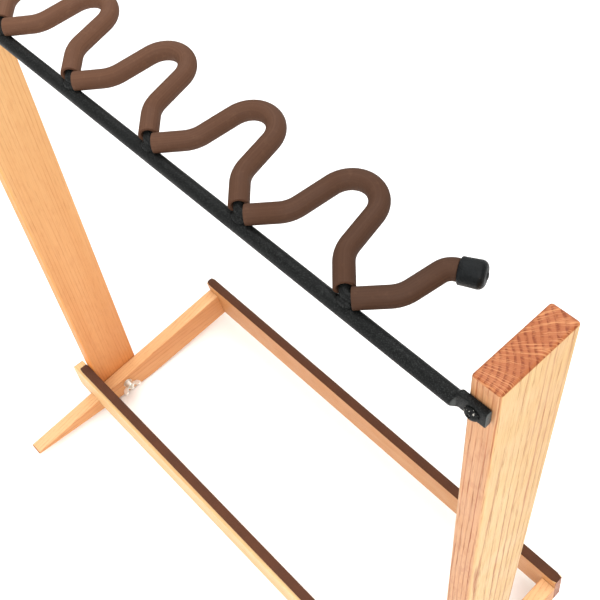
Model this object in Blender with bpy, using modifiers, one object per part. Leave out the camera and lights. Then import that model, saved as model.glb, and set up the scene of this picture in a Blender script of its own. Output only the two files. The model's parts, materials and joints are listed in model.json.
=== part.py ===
"""Folding wooden floor stand for a row of guitars.

Two oak uprights carry a steel bar with a bent, sleeved rod along it, whose loops hold the necks apart.
The bodies stand on two padded rails. The feet fold up between the uprights, about bolts that wing nuts clamp,
with the front rail across their square-cut ends.

Metres, +Z up. The origin is on the floor under the middle of the stand, -Y is the front.
"""

import math

import bmesh
import bpy
from mathutils import Matrix, Vector

# Clearances
GAP = 0.0003  # between pieces that touch
RUNNING_PLAY = 0.00005  # radial, round a pin that something turns on

# Uprights
UPRIGHT_SPAN = 0.643  # outside to outside
UPRIGHT_THICK = 0.019
UPRIGHT_DEPTH = 0.061
UPRIGHT_HEIGHT = 0.716
UPRIGHT_EASE = 0.0022
REAR_FACE_Y = 0.0494  # the uprights' rear faces

# Bar across the top, a tube with squashed ends
BAR_D = 0.01
BAR_DROP = 0.022  # its axis below the uprights' tops
BAR_BEHIND = 0.0043  # its axis behind the uprights' rear faces
LUG_THICK = 0.0048
LUG_TALL = 0.0128
LUG_LIFT = 0.0007  # its middle above the bar's axis
LUG_INSET = 0.0034  # the lug's end from the upright's outer face
LUG_LENGTH = 0.0172
LUG_SHOULDER = 0.0035  # from flat to round
LUG_SQUARENESS = 0.65  # of the squashed section, from 0, an ellipse, towards 1, a rectangle
LUG_END_EASE = 0.0006
BAR_SCREW_INSET = 0.0118  # from the upright's outer face

# Rod with the loops, welded on the bar
ROD_D = 0.0064
LOOP_COUNT = 5
LOOP_PITCH = 0.0876
LOOP_TILT = math.radians(6.86)  # up towards the front
LOOP_DEPTH = 0.0643
LOOP_TIP_HALF = 0.0147
WAIST_DEPTH = 0.0211
WAIST_HALF = 0.02185
WELD_BEND = 0.0057
WAIST_BEND = 0.020
ROD_AHEAD = 0.0033  # the rod's bends ahead of the bar's axis
WELD_ROOT = 0.0008  # between rod and bar, filled with weld
WELD_LENGTH = 0.0125
WELD_WIDTH = 0.0092
WELD_TALL = 0.0068
END_DEPTH = 0.0496  # where a half loop turns outward
END_OUT = 0.0011  # how far that corner lies outside the half loop's straight line
END_BEND = 0.010
END_ANGLE = math.radians(25.6)  # of the rod's last stretch, from the bar's direction
END_RUN = 0.0068  # from that corner to the cap's rim

# Sleeves and caps on the rod
SLEEVE_D = 0.013
SLEEVE_WALL = 0.0022
SLEEVE_NEAR = 0.0008  # from a sleeve's straight end to the rod's other leg at a weld
CAP_D = 0.0156
CAP_END_D = 0.0163
CAP_LENGTH = 0.0156
CAP_BORE = 0.0125
CAP_ROUND = 0.004
CAP_NUB_D = 0.0044
CAP_NUB_TALL = 0.0008

# Rails and pads
REAR_RAIL_LENGTH = 0.6616
REAR_RAIL_THICK = 0.0149
REAR_RAIL_TALL = 0.0418
REAR_RAIL_Z = 0.0224  # its underside
RAIL_CORNER = 0.008
RAIL_EASE = 0.0013
FRONT_RAIL_THICK = 0.0115
FRONT_RAIL_TALL = 0.061
PAD_THICK = 0.0027
PAD_WIDTH = 0.0115
PAD_SHORT = 0.0118  # the rear pad's end from the rail's end
PAD_EASE = 0.0009

# Feet
FOOT_THICK = 0.018
FOOT_FRONT_Y = -0.1548  # the lower corner of its front end
TAIL_Y = 0.1663
FOOT_TOP_Z = 0.0326  # the top edge, at the uprights' rear faces
FOOT_SLOPE = math.radians(7.42)
FOOT_NOSE_Z = 0.0146  # that corner's height
BELLY_Y = -0.0175
BELLY_Z = 0.0014
BELLY_ROUND = 0.15
TAIL_Z = 0.0133  # the underside at the tail
FOOT_ROUND = 0.0019  # of its corners, seen from the side
FOOT_EASE = 0.0015
FOOT_SPARE = 0.006  # sawn off its front once the edges are eased, square to its top edge
NOTCH_PLAY = 0.0005  # at each side of a foot, in the rear rail's notch

# Pivots
PIVOT_Y = REAR_FACE_Y - UPRIGHT_DEPTH / 2  # on the uprights' middle line
PIVOT_Z = 0.024
BOLT_D = 0.006
BOLT_HEAD_D = 0.0155
BOLT_HEAD_TALL = 0.0034
BOLT_SPARE = 0.0035  # past the wing nut
WASHER_D = 0.0127
WASHER_THICK = 0.0015
NUT_TALL = 0.0075
NUT_BASE_D = 0.0118
NUT_TOP_D = 0.0096
WING_SPAN = 0.028
WING_TALL = 0.0138  # wing tips above the nut's base
WING_THICK = 0.0022
WING_ROOT = 0.22  # of the nut's height, where the wings begin
WING_CURVE = ((0.82, 0.34), (1, 0.62), (0.93, 1), (0.62, 0.93))  # shares of half the span and of the height
NUT_TURN = math.radians(95)

# Dowels and screws
DOWEL_D = 0.008
DOWEL_IN_RAIL = 0.0115
DOWEL_IN_UPRIGHT = 0.018
DOWEL_SPREAD = 0.022
BAR_SCREW_HEAD_D = 0.0095
BAR_SCREW_HEAD_TALL = 0.0028
BAR_SCREW_D = 0.0038
BAR_SCREW_LENGTH = 0.026
RAIL_SCREW_HEAD_D = 0.0082
RAIL_SCREW_D = 0.004
RAIL_SCREW_LENGTH = 0.035
RAIL_SCREW_SPREAD = 0.018
CROSS_SPAN = 0.0048
CROSS_SLOT = 0.0011
CROSS_DEPTH = 0.0016
CROSS_TURN = math.radians(20)

# Places that several pieces share
OUTER_X = UPRIGHT_SPAN / 2
INNER_X = OUTER_X - UPRIGHT_THICK
FOOT_OUT_X = INNER_X - GAP
FOOT_IN_X = FOOT_OUT_X - FOOT_THICK
FOOT_MID_X = FOOT_OUT_X - FOOT_THICK / 2
BAR_Y = REAR_FACE_Y + BAR_BEHIND
BAR_Z = UPRIGHT_HEIGHT - BAR_DROP
RAIL_FRONT_Y = REAR_FACE_Y + GAP
RAIL_MID_Y = RAIL_FRONT_Y + REAR_RAIL_THICK / 2
RAIL_TOP_Z = REAR_RAIL_Z + REAR_RAIL_TALL
FRONT_END = Matrix.Translation((0, FOOT_FRONT_Y, FOOT_NOSE_Z)) @ Matrix.Rotation(-FOOT_SLOPE, 4, "X")
WASHER_X = FOOT_IN_X - GAP
NUT_X = WASHER_X - WASHER_THICK - GAP

# Colours, as seen (sRGB), with roughness and metallic
OAK = ((0.90, 0.71, 0.49), 0.5, 0.0)
OAK_DARK = ((0.86, 0.63, 0.42), 0.5, 0.0)
BLACK_STEEL = ((0.16, 0.16, 0.165), 0.45, 0.6)
ZINC = ((0.72, 0.73, 0.74), 0.3, 1.0)
BROWN_TUBING = ((0.43, 0.31, 0.25), 0.6, 0.0)
BLACK_RUBBER = ((0.13, 0.13, 0.13), 0.65, 0.0)
PAD_BROWN = ((0.40, 0.28, 0.23), 0.85, 0.0)
BEECH = ((0.84, 0.69, 0.50), 0.6, 0.0)

SIDES = {"left": 1, "right": -1}
ACROSS = (0, math.radians(90), 0)  # a turned piece's +Z laid along +X
REARWARD = (math.radians(-90), 0, 0)  # laid along +Y


def clear_scene():
    """Empties the scene and gives it one collection for the stand and one for the cutters."""
    for obj in list(bpy.data.objects):
        bpy.data.objects.remove(obj, do_unlink=True)
    for group in list(bpy.data.collections):
        bpy.data.collections.remove(group)
    for name in ("guitar_stand", "cutters"):
        bpy.context.scene.collection.children.link(bpy.data.collections.new(name))


def linear(rgb):
    """sRGB colour to the linear values that a shader takes."""
    return [c / 12.92 if c <= 0.04045 else ((c + 0.055) / 1.055) ** 2.4 for c in rgb]


def paint(obj, look):
    """Gives a piece its own material."""
    rgb, roughness, metallic = look
    mat = bpy.data.materials.new(obj.name)
    mat.use_nodes = True
    shader = mat.node_tree.nodes["Principled BSDF"]
    shader.inputs["Base Color"].default_value = (*linear(rgb), 1)
    shader.inputs["Roughness"].default_value = roughness
    shader.inputs["Metallic"].default_value = metallic
    mat.diffuse_color = (*linear(rgb), 1)
    obj.data.materials.clear()
    obj.data.materials.append(mat)
    return obj


def link(name, data, look=None):
    """Links an object, as a cutter when it has no look."""
    obj = bpy.data.objects.new(name, data)
    bpy.data.collections["guitar_stand" if look else "cutters"].objects.link(obj)
    if look:
        paint(obj, look)
    else:
        obj.hide_render = True
        obj.display_type = "WIRE"
    return obj


def from_bmesh(name, bm, look=None):
    mesh = bpy.data.meshes.new(name)
    bmesh.ops.recalc_face_normals(bm, faces=bm.faces)
    bm.to_mesh(mesh)
    bm.free()
    return link(name, mesh, look)


def block(name, low, high, look=None):
    """A box between two corners, with its origin at its middle."""
    low, high = Vector(low), Vector(high)
    bm = bmesh.new()
    bmesh.ops.create_cube(bm, size=1)
    bmesh.ops.scale(bm, vec=high - low, verts=bm.verts)
    obj = from_bmesh(name, bm, look)
    obj.location = (low + high) / 2
    return obj


def drum(name, radius, length, look=None, segments=24, tip_radius=None):
    """A cylinder or cone on +Z, from its origin upward."""
    bm = bmesh.new()
    bmesh.ops.create_cone(bm, cap_ends=True, segments=segments, radius1=radius,
                          radius2=radius if tip_radius is None else tip_radius, depth=length)
    bmesh.ops.translate(bm, vec=(0, 0, length / 2), verts=bm.verts)
    obj = from_bmesh(name, bm, look)
    if look:
        smooth(obj.data)
    return obj


def smooth(mesh, degrees=35):
    mesh.shade_smooth()
    mesh.set_sharp_from_angle(angle=math.radians(degrees))


def turned(name, profile, look=None, segments=24):
    """A turned piece on +Z, from (radius, height) points that run down its outside from the top."""
    closed = profile[0][0] > 0 and profile[-1][0] > 0
    bm = bmesh.new()
    ring = [bm.verts.new((r, 0, z)) for r, z in profile]
    for a, b in zip(ring, ring[1:] + ring[:1] if closed else ring[1:]):
        bm.edges.new((a, b))
    mesh = bpy.data.meshes.new(name)
    bm.to_mesh(mesh)
    bm.free()
    obj = link(name, mesh, look)
    screw = obj.modifiers.new("turn", "SCREW")
    screw.steps = screw.render_steps = segments
    screw.use_merge_vertices = True
    screw.merge_threshold = 0.00001
    return obj


def filleted(points, radii, step=math.radians(18)):
    """Points of a line with its corners rounded; a closed line has as many radii as points."""
    closed = len(radii) == len(points)
    out = [] if closed else [Vector(points[0])]
    corners = range(len(points)) if closed else range(1, len(points) - 1)
    for i in corners:
        p, before, after = (Vector(points[j % len(points)]) for j in (i, i - 1, i + 1))
        u, v = (before - p).normalized(), (after - p).normalized()
        half = u.angle(v) / 2
        r = radii[i if closed else i - 1]
        centre = p + (u + v).normalized() * r / math.sin(half)
        start = p + u * r / math.tan(half) - centre
        turn = math.pi - 2 * half
        sign = 1 if u.x * v.y - u.y * v.x < 0 else -1
        count = max(1, round(turn / step))
        for k in range(count + 1):
            a = sign * turn * k / count
            out.append(centre + Vector((start.x * math.cos(a) - start.y * math.sin(a),
                                        start.x * math.sin(a) + start.y * math.cos(a))))
    if not closed:
        out.append(Vector(points[-1]))
    return [p for i, p in enumerate(out) if i == 0 or (p - out[i - 1]).length > 0.000001]


def line_curve(name, points, closed=False):
    curve = bpy.data.curves.new(name, "CURVE")
    spline = curve.splines.new("POLY")
    spline.points.add(len(points) - 1)
    for target, p in zip(spline.points, points):
        target.co = (p[0], p[1], 0, 1)
    spline.use_cyclic_u = closed
    return curve


def as_mesh(name, curve, matrix, look=None, weld=True):
    """Turns a curve into a mesh object in the same place, with its caps welded on."""
    guide = link(name + "_curve", curve)
    guide.matrix_world = matrix
    bpy.context.view_layer.update()
    mesh = bpy.data.meshes.new_from_object(guide.evaluated_get(bpy.context.evaluated_depsgraph_get()))
    bpy.data.objects.remove(guide, do_unlink=True)
    bpy.data.curves.remove(curve)
    bm = bmesh.new()
    bm.from_mesh(mesh)
    if weld:
        bmesh.ops.remove_doubles(bm, verts=bm.verts, dist=0.00001)
    bmesh.ops.dissolve_limit(bm, angle_limit=math.radians(0.5), verts=bm.verts, edges=bm.edges)
    bm.to_mesh(mesh)
    bm.free()
    mesh.name = name
    obj = link(name, mesh, look)
    obj.matrix_world = matrix
    return obj


def plate(name, outline, thick, matrix, look=None):
    """A flat outline on the matrix's XY plane, as thick as asked about that plane."""
    curve = line_curve(name, outline, closed=True)
    curve.dimensions = "2D"
    curve.fill_mode = "BOTH"
    curve.extrude = thick / 2
    return as_mesh(name, curve, matrix, look)


def wire(name, path, radius, sides, matrix, look=None, caps=True):
    """A round wire along a flat path."""
    curve = line_curve(name, path)
    curve.dimensions = "3D"
    curve.bevel_depth = radius
    curve.bevel_resolution = sides
    curve.use_fill_caps = caps
    obj = as_mesh(name, curve, matrix, look, weld=caps)
    smooth(obj.data, 50)
    return obj


def ease(obj, width, segments=2, limit=40):
    """Rounds a piece's sharp edges."""
    bevel = obj.modifiers.new("eased edges", "BEVEL")
    bevel.width = width
    bevel.segments = segments
    bevel.limit_method = "ANGLE"
    bevel.angle_limit = math.radians(limit)
    bevel.use_clamp_overlap = False
    return obj


def combine(obj, other, operation="DIFFERENCE"):
    boolean = obj.modifiers.new(other.name, "BOOLEAN")
    boolean.operation = operation
    boolean.object = other
    boolean.solver = "EXACT"


def put(obj, location, rotation=(0, 0, 0)):
    obj.location = location
    obj.rotation_euler = rotation
    return obj


def hang(children, empty):
    """Parents finished pieces to an empty on their joint's axis, where they are."""
    for child in children:
        child.parent = empty
        child.matrix_parent_inverse = Matrix.Translation(-empty.location)


def pivot(name, x=0.0):
    empty = bpy.data.objects.new(name, None)
    empty.location = (x, PIVOT_Y, PIVOT_Z)
    empty.empty_display_size = 0.03
    bpy.data.collections["guitar_stand"].objects.link(empty)
    return empty


def side_plane(x):
    """Plane seen from +X: the outline's x runs along +Y and its y along +Z."""
    return Matrix.Translation((x, 0, 0)) @ Matrix(((0, 0, 1, 0), (1, 0, 0, 0), (0, 1, 0, 0), (0, 0, 0, 1)))


def on_foot_ends(obj):
    """Lays a block, drawn at the origin, on the feet's front ends: +Z runs up along them and -Y out of them."""
    obj.matrix_world = FRONT_END @ Matrix.Translation(obj.location)
    return obj


def front_plane(y):
    """Plane seen from the front: the outline's x runs along +X and its y along +Z."""
    return Matrix.Translation((0, y, 0)) @ Matrix.Rotation(math.radians(90), 4, "X")


def dome(radius, tall, base=0.0, steps=4):
    """Profile of a domed head, from its crown to its rim at the height base."""
    sphere = (radius ** 2 + tall ** 2) / (2 * tall)
    reach = math.asin(min(1, radius / sphere))
    crown = base + tall
    return [(sphere * math.sin(reach * k / steps), crown - sphere * (1 - math.cos(reach * k / steps)))
            for k in range(steps + 1)]


def foot_top(y):
    return FOOT_TOP_Z - math.tan(FOOT_SLOPE) * (y - REAR_FACE_Y)


def foot_under(y):
    """Height of the foot's straight underside, away from the rounded belly."""
    if y < BELLY_Y:
        return BELLY_Z + (FOOT_NOSE_Z - BELLY_Z) * (BELLY_Y - y) / (BELLY_Y - FOOT_FRONT_Y)
    return BELLY_Z + (TAIL_Z - BELLY_Z) * (y - BELLY_Y) / (TAIL_Y - BELLY_Y)


def rod_corners():
    """Corners of the rod's middle line and their bend radii, seen from above; y is minus the depth."""
    half = LOOP_COUNT * LOOP_PITCH / 2
    lean = (WAIST_HALF - LOOP_TIP_HALF) / (LOOP_DEPTH - WAIST_DEPTH)
    tip_turn = math.pi / 2 - math.atan(lean)
    tip_bend = LOOP_TIP_HALF / math.tan(tip_turn / 2)  # a loop's tip is a full round
    turn_x = half + LOOP_PITCH / 2 - WAIST_HALF + lean * (END_DEPTH - WAIST_DEPTH) + END_OUT
    reach = END_RUN + CAP_BORE - GAP
    tip_x = turn_x + reach * math.cos(END_ANGLE)
    tip_y = END_DEPTH + reach * math.sin(END_ANGLE)
    waist_x = half + LOOP_PITCH / 2 - WAIST_HALF
    corners = [(-tip_x, -tip_y, 0), (-turn_x, -END_DEPTH, END_BEND), (-waist_x, -WAIST_DEPTH, WAIST_BEND)]
    for i in range(LOOP_COUNT):
        x = -half + i * LOOP_PITCH
        middle = x + LOOP_PITCH / 2
        corners += [(x, 0, WELD_BEND), (middle - WAIST_HALF, -WAIST_DEPTH, WAIST_BEND),
                    (middle - LOOP_TIP_HALF, -LOOP_DEPTH, tip_bend),
                    (middle + LOOP_TIP_HALF, -LOOP_DEPTH, tip_bend),
                    (middle + WAIST_HALF, -WAIST_DEPTH, WAIST_BEND)]
    corners += [(half, 0, WELD_BEND), (waist_x, -WAIST_DEPTH, WAIST_BEND),
                (turn_x, -END_DEPTH, END_BEND), (tip_x, -tip_y, 0)]
    return corners


WAIST_HALF_RUN = LOOP_PITCH / 2 - WAIST_HALF
WELD_HALF_ANGLE = math.atan2(WAIST_HALF_RUN, WAIST_DEPTH)  # between a leg at a weld and -Y


def bend_setback():
    """How far the rod's bend at a weld lies inside its corner."""
    return WELD_BEND * (1 / math.sin(WELD_HALF_ANGLE) - 1)


ROD_LIFT = math.sqrt((BAR_D / 2 + ROD_D / 2 + WELD_ROOT) ** 2 - ROD_AHEAD ** 2)
ROD_Y = BAR_Y - ROD_AHEAD + bend_setback() * math.cos(LOOP_TILT)
ROD_Z = BAR_Z + ROD_LIFT - bend_setback() * math.sin(LOOP_TILT)
ROD_PLANE = Matrix.Translation((0, ROD_Y, ROD_Z)) @ Matrix.Rotation(-LOOP_TILT, 4, "X")


def weld_places():
    return [(i - LOOP_COUNT / 2) * LOOP_PITCH for i in range(LOOP_COUNT + 1)]


def rod_path():
    corners = rod_corners()
    return filleted([c[:2] for c in corners], [c[2] for c in corners[1:-1]])


def lengths(path):
    total = [0.0]
    for a, b in zip(path, path[1:]):
        total.append(total[-1] + (b - a).length)
    return total


def stretch(path, start, end):
    """The part of a path between two distances along it."""
    total = lengths(path)
    out = []
    for i, (a, b) in enumerate(zip(path, path[1:])):
        for mark in (start, end):
            if total[i] <= mark < total[i + 1]:
                out.append((mark, a.lerp(b, (mark - total[i]) / (total[i + 1] - total[i]))))
        if start < total[i + 1] < end:
            out.append((total[i + 1], b))
    return [p for _, p in sorted(out, key=lambda item: item[0])]


def weld_marks(path):
    """Distances along the rod at which it passes its welds; x grows all along the rod."""
    total = lengths(path)
    marks = []
    for x in weld_places():
        i = max(k for k, p in enumerate(path[:-1]) if p.x <= x)
        a, b = path[i], path[i + 1]
        marks.append(total[i] + (b - a).length * (x - a.x) / (b.x - a.x))
    return marks


def make_uprights():
    posts = []
    for side, sign in SIDES.items():
        x0, x1 = sorted((sign * INNER_X, sign * OUTER_X))
        post = block(f"upright_{side}", (x0, REAR_FACE_Y - UPRIGHT_DEPTH, 0),
                     (x1, REAR_FACE_Y, UPRIGHT_HEIGHT), OAK)
        posts.append(ease(post, UPRIGHT_EASE, 3))
    hole = put(drum("upright_pivot_hole", BOLT_D / 2 + GAP, UPRIGHT_SPAN + 0.1, segments=24),
               (-UPRIGHT_SPAN / 2 - 0.05, PIVOT_Y, PIVOT_Z), ACROSS)
    for post in posts:
        combine(post, hole)
    return posts


def bar_section(flat, shrink=0.0, steps=24):
    """Section of the bar: round at flat 0, squashed against the upright at 1, and smaller by shrink all round."""
    y = BAR_Y + flat * (REAR_FACE_Y + GAP + LUG_THICK / 2 - BAR_Y)
    z = BAR_Z + flat * LUG_LIFT
    wide = BAR_D / 2 + flat * (LUG_THICK - BAR_D) / 2 - shrink
    tall = BAR_D / 2 + flat * (LUG_TALL - BAR_D) / 2 - shrink
    power = 1 - LUG_SQUARENESS * flat
    points = []
    for k in range(steps):
        a = 2 * math.pi * k / steps
        c, s = math.cos(a), math.sin(a)
        points.append((y + wide * math.copysign(abs(c) ** power, c), z + tall * math.copysign(abs(s) ** power, s)))
    return points


def make_bar():
    """Lofts the tube from lug to lug and drills it for its screws."""
    end = OUTER_X - LUG_INSET
    flat_to = end - LUG_LENGTH
    half = [(end, 1.0, LUG_END_EASE), (end - LUG_END_EASE, 1.0, 0.0), (flat_to, 1.0, 0.0)]
    for k in range(1, 5):
        t = k / 4
        half.append((flat_to - LUG_SHOULDER * t, (1 + math.cos(math.pi * t)) / 2, 0.0))
    stations = half + [(-x, flat, shrink) for x, flat, shrink in reversed(half)]
    bm = bmesh.new()
    rings = [[bm.verts.new((x, y, z)) for y, z in bar_section(flat, shrink)] for x, flat, shrink in stations]
    for a, b in zip(rings, rings[1:]):
        bmesh.ops.bridge_loops(bm, edges=[bm.edges.new((r[i], r[i - 1])) if bm.edges.get((r[i], r[i - 1])) is None
                                          else bm.edges.get((r[i], r[i - 1])) for r in (a, b)
                                          for i in range(len(r))])
    for ring in (rings[0], rings[-1]):
        bm.faces.new(ring)
    bar = from_bmesh("top_bar", bm, BLACK_STEEL)
    smooth(bar.data)
    return bar


def screw_profile(shank_r, length, head, tip=0.3):
    """Profile of a wood screw: its head's points, then a plain shank with a short point."""
    taper = shank_r * 2
    return head + [(shank_r, 0.0), (shank_r, taper - length), (shank_r * tip, -length), (0, -length)]


def cross_outline(span=CROSS_SPAN, slot=CROSS_SLOT):
    """Outline of a cross recess."""
    s, w = span / 2, slot / 2
    quarter = [(s, -w), (s, w), (w, w)]
    out = []
    for turn in ((1, 0), (0, 1), (-1, 0), (0, -1)):
        out += [(x * turn[0] - y * turn[1], x * turn[1] + y * turn[0]) for x, y in quarter]
    return out


def cross_cut(screw, name, top, matrix):
    """Cuts a cross recess down from the height top on the screw's own axis."""
    place = matrix @ Matrix.Translation((0, 0, top)) @ Matrix.Rotation(CROSS_TURN, 4, "Z")
    combine(screw, plate(name, cross_outline(), 2 * CROSS_DEPTH, place))


def make_bar_screws(posts, bar):
    screws = []
    for (side, sign), post in zip(SIDES.items(), posts):
        matrix = Matrix.Translation((sign * (OUTER_X - BAR_SCREW_INSET), REAR_FACE_Y + 2 * GAP + LUG_THICK, BAR_Z))
        matrix = matrix @ Matrix.Rotation(math.radians(-90), 4, "X")
        head = dome(BAR_SCREW_HEAD_D / 2, BAR_SCREW_HEAD_TALL * 0.72, BAR_SCREW_HEAD_TALL * 0.28)
        profile = screw_profile(BAR_SCREW_D / 2, BAR_SCREW_LENGTH, head + [(BAR_SCREW_HEAD_D / 2, 0.0)])
        screw = turned(f"bar_screw_{side}", profile, BLACK_STEEL, 20)
        screw.matrix_world = matrix
        cross_cut(screw, f"bar_screw_recess_{side}", BAR_SCREW_HEAD_TALL, matrix)
        hole = drum(f"bar_screw_hole_{side}", BAR_SCREW_D / 2 + GAP, BAR_SCREW_LENGTH + GAP + 0.01, segments=16)
        hole.matrix_world = matrix @ Matrix.Translation((0, 0, -BAR_SCREW_LENGTH - GAP))
        combine(post, hole)
        combine(bar, hole)
        screws.append(screw)
    return screws


def make_rod():
    return wire("neck_rod", rod_path(), ROD_D / 2, 2, ROD_PLANE, BLACK_STEEL)


def bead(name, x, grown=0.0, look=None):
    """A weld's whole bead, larger all round by grown, in the root between bar and rod."""
    share = (BAR_D + WELD_ROOT) / (BAR_D + ROD_D + 2 * WELD_ROOT)
    bm = bmesh.new()
    bmesh.ops.create_uvsphere(bm, u_segments=16, v_segments=10, radius=0.5)
    bmesh.ops.scale(bm, vec=[size + 2 * grown for size in (WELD_LENGTH, WELD_WIDTH, WELD_TALL)], verts=bm.verts)
    place = (x, BAR_Y - ROD_AHEAD * share, BAR_Z + ROD_LIFT * share)
    return put(from_bmesh(name, bm, look), place, (math.atan2(ROD_AHEAD, ROD_LIFT), 0, 0))


def make_welds(bar_core):
    """Beads, each cut back from the bar and the rod by the usual gap."""
    rod_core = wire("rod_core", rod_path(), ROD_D / 2 + GAP, 2, ROD_PLANE)
    for number, x in enumerate(weld_places(), 1):
        weld = bead(f"weld_{number}", x, look=BLACK_STEEL)
        smooth(weld.data, 60)
        combine(weld, bar_core)
        combine(weld, rod_core)


def sleeve_spans(path):
    """Each sleeve's start and end along the rod, and how far it then runs straight on towards the weld.

    At a weld one sleeve runs on past the rod's bend, and the next one butts on its flank.
    """
    total = lengths(path)[-1]
    marks = weld_marks(path)
    arc = WELD_BEND * (math.pi / 2 - WELD_HALF_ANGLE)
    tangent = WELD_BEND / math.tan(WELD_HALF_ANGLE)
    butt = arc - tangent + SLEEVE_D / 2 + GAP
    straight = tangent - ROD_D / 2 - SLEEVE_NEAR
    starts = [CAP_BORE] + [mark + butt for mark in marks]
    ends = [(mark - arc, straight) for mark in marks] + [(total - CAP_BORE, 0.0)]
    return [(start, end, run) for start, (end, run) in zip(starts, ends)]


def make_sleeves(bar_core):
    """Tubes over the rod; their soft ends give way to the bar and to the welds."""
    path = rod_path()
    spaces = [bead(f"weld_space_{number}", x, GAP) for number, x in enumerate(weld_places(), 1)]
    for number, (start, end, run) in enumerate(sleeve_spans(path), 1):
        points = stretch(path, start, end)
        if run:
            points.append(points[-1] + (points[-1] - points[-2]).normalized() * run)
        sleeve = wire(f"sleeve_{number}", points, SLEEVE_D / 2, 4, ROD_PLANE, BROWN_TUBING, caps=False)
        wall = sleeve.modifiers.new("wall", "SOLIDIFY")
        wall.thickness = SLEEVE_WALL
        wall.offset = -1
        wall.use_even_offset = True
        combine(sleeve, bar_core)
        for space in spaces[max(0, number - 2):number]:
            combine(sleeve, space)


def make_caps():
    """Soft caps over the rod's ends, with a rounded closed end and a small nub."""
    corners = rod_corners()
    r, end_r, bore = CAP_D / 2, CAP_END_D / 2, ROD_D / 2 + GAP
    shoulder = CAP_LENGTH - CAP_NUB_TALL - CAP_ROUND
    profile = [(0, CAP_LENGTH), (CAP_NUB_D / 2, CAP_LENGTH), (CAP_NUB_D / 2, CAP_LENGTH - CAP_NUB_TALL)]
    for k in range(5):
        a = math.pi / 2 * k / 4
        profile.append((end_r - CAP_ROUND * (1 - math.sin(a)), shoulder + CAP_ROUND * math.cos(a)))
    profile += [(r, 0.0006), (r - 0.0006, 0), (bore, 0), (bore, CAP_BORE), (0, CAP_BORE)]
    for side, sign in SIDES.items():
        tip_x, tip_y = corners[-1][0] * sign, corners[-1][1]
        back = CAP_BORE - GAP
        x = tip_x - sign * back * math.cos(END_ANGLE)
        y = tip_y + back * math.sin(END_ANGLE)
        cap = turned(f"end_cap_{side}", profile, BLACK_RUBBER)
        along = Vector((sign * math.cos(END_ANGLE), -math.sin(END_ANGLE), 0))
        cap.matrix_world = ROD_PLANE @ Matrix.Translation((x, y, 0)) @ along.to_track_quat("Z", "Y").to_matrix().to_4x4()


def make_rear_rail(posts):
    half = REAR_RAIL_LENGTH / 2
    low, high = REAR_RAIL_Z, RAIL_TOP_Z
    outline = filleted([(-half, low), (half, low), (half, high), (-half, high)],
                       [RAIL_CORNER, RAIL_CORNER, RAIL_CORNER / 3, RAIL_CORNER / 3], math.radians(22.5))
    rail = ease(plate("rear_rail", outline, REAR_RAIL_THICK, front_plane(RAIL_MID_Y), OAK), RAIL_EASE)
    for side, sign in SIDES.items():
        notch = block(f"rail_notch_{side}", (-FOOT_THICK / 2 - NOTCH_PLAY, -REAR_RAIL_THICK, -REAR_RAIL_TALL),
                      (FOOT_THICK / 2 + NOTCH_PLAY, REAR_RAIL_THICK, 0))
        drop = Matrix.Translation((0, 0, GAP / math.cos(FOOT_SLOPE) - REAR_RAIL_TALL / 2))
        place = Matrix.Translation((sign * FOOT_MID_X, RAIL_MID_Y, foot_top(RAIL_MID_Y)))
        notch.matrix_world = place @ Matrix.Rotation(-FOOT_SLOPE, 4, "X") @ drop
        combine(rail, notch)
    pad_half = half - PAD_SHORT
    pad = block("rear_pad", (-pad_half, RAIL_FRONT_Y, RAIL_TOP_Z + GAP),
                (pad_half, RAIL_FRONT_Y + PAD_WIDTH, RAIL_TOP_Z + GAP + PAD_THICK), PAD_BROWN)
    ease(pad, PAD_EASE)
    make_dowels(posts, rail)
    return rail


def make_dowels(posts, rail):
    """Dowels that hold the rear rail to the uprights, out of sight."""
    number = 0
    for sign, post in zip(SIDES.values(), posts):
        for level in (-0.5, 0.5):
            number += 1
            x = sign * (INNER_X + UPRIGHT_THICK / 2)
            z = REAR_RAIL_Z + REAR_RAIL_TALL / 2 + level * DOWEL_SPREAD
            length = DOWEL_IN_UPRIGHT + GAP + DOWEL_IN_RAIL
            dowel = drum(f"rail_dowel_{number}", DOWEL_D / 2, length, BEECH, 16)
            put(dowel, (x, REAR_FACE_Y - DOWEL_IN_UPRIGHT, z), REARWARD)
            ease(dowel, 0.0006, 1)
            hole = drum(f"rail_dowel_hole_{number}", DOWEL_D / 2 + GAP, length + 2 * GAP, segments=16)
            put(hole, (x, REAR_FACE_Y - DOWEL_IN_UPRIGHT - GAP, z), REARWARD)
            combine(post, hole)
            combine(rail, hole)


def make_bolts():
    for side, sign in SIDES.items():
        reach = OUTER_X + GAP - NUT_X + NUT_TALL + BOLT_SPARE
        r = BOLT_D / 2
        profile = dome(BOLT_HEAD_D / 2, BOLT_HEAD_TALL, 0.0)
        profile += [(r, 0.0), (r, 0.0008 - reach), (r - 0.0008, -reach), (0, -reach)]
        bolt = turned(f"pivot_bolt_{side}", profile, ZINC, 32)
        put(bolt, (sign * (OUTER_X + GAP), PIVOT_Y, PIVOT_Z), (0, sign * math.radians(90), 0))


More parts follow.
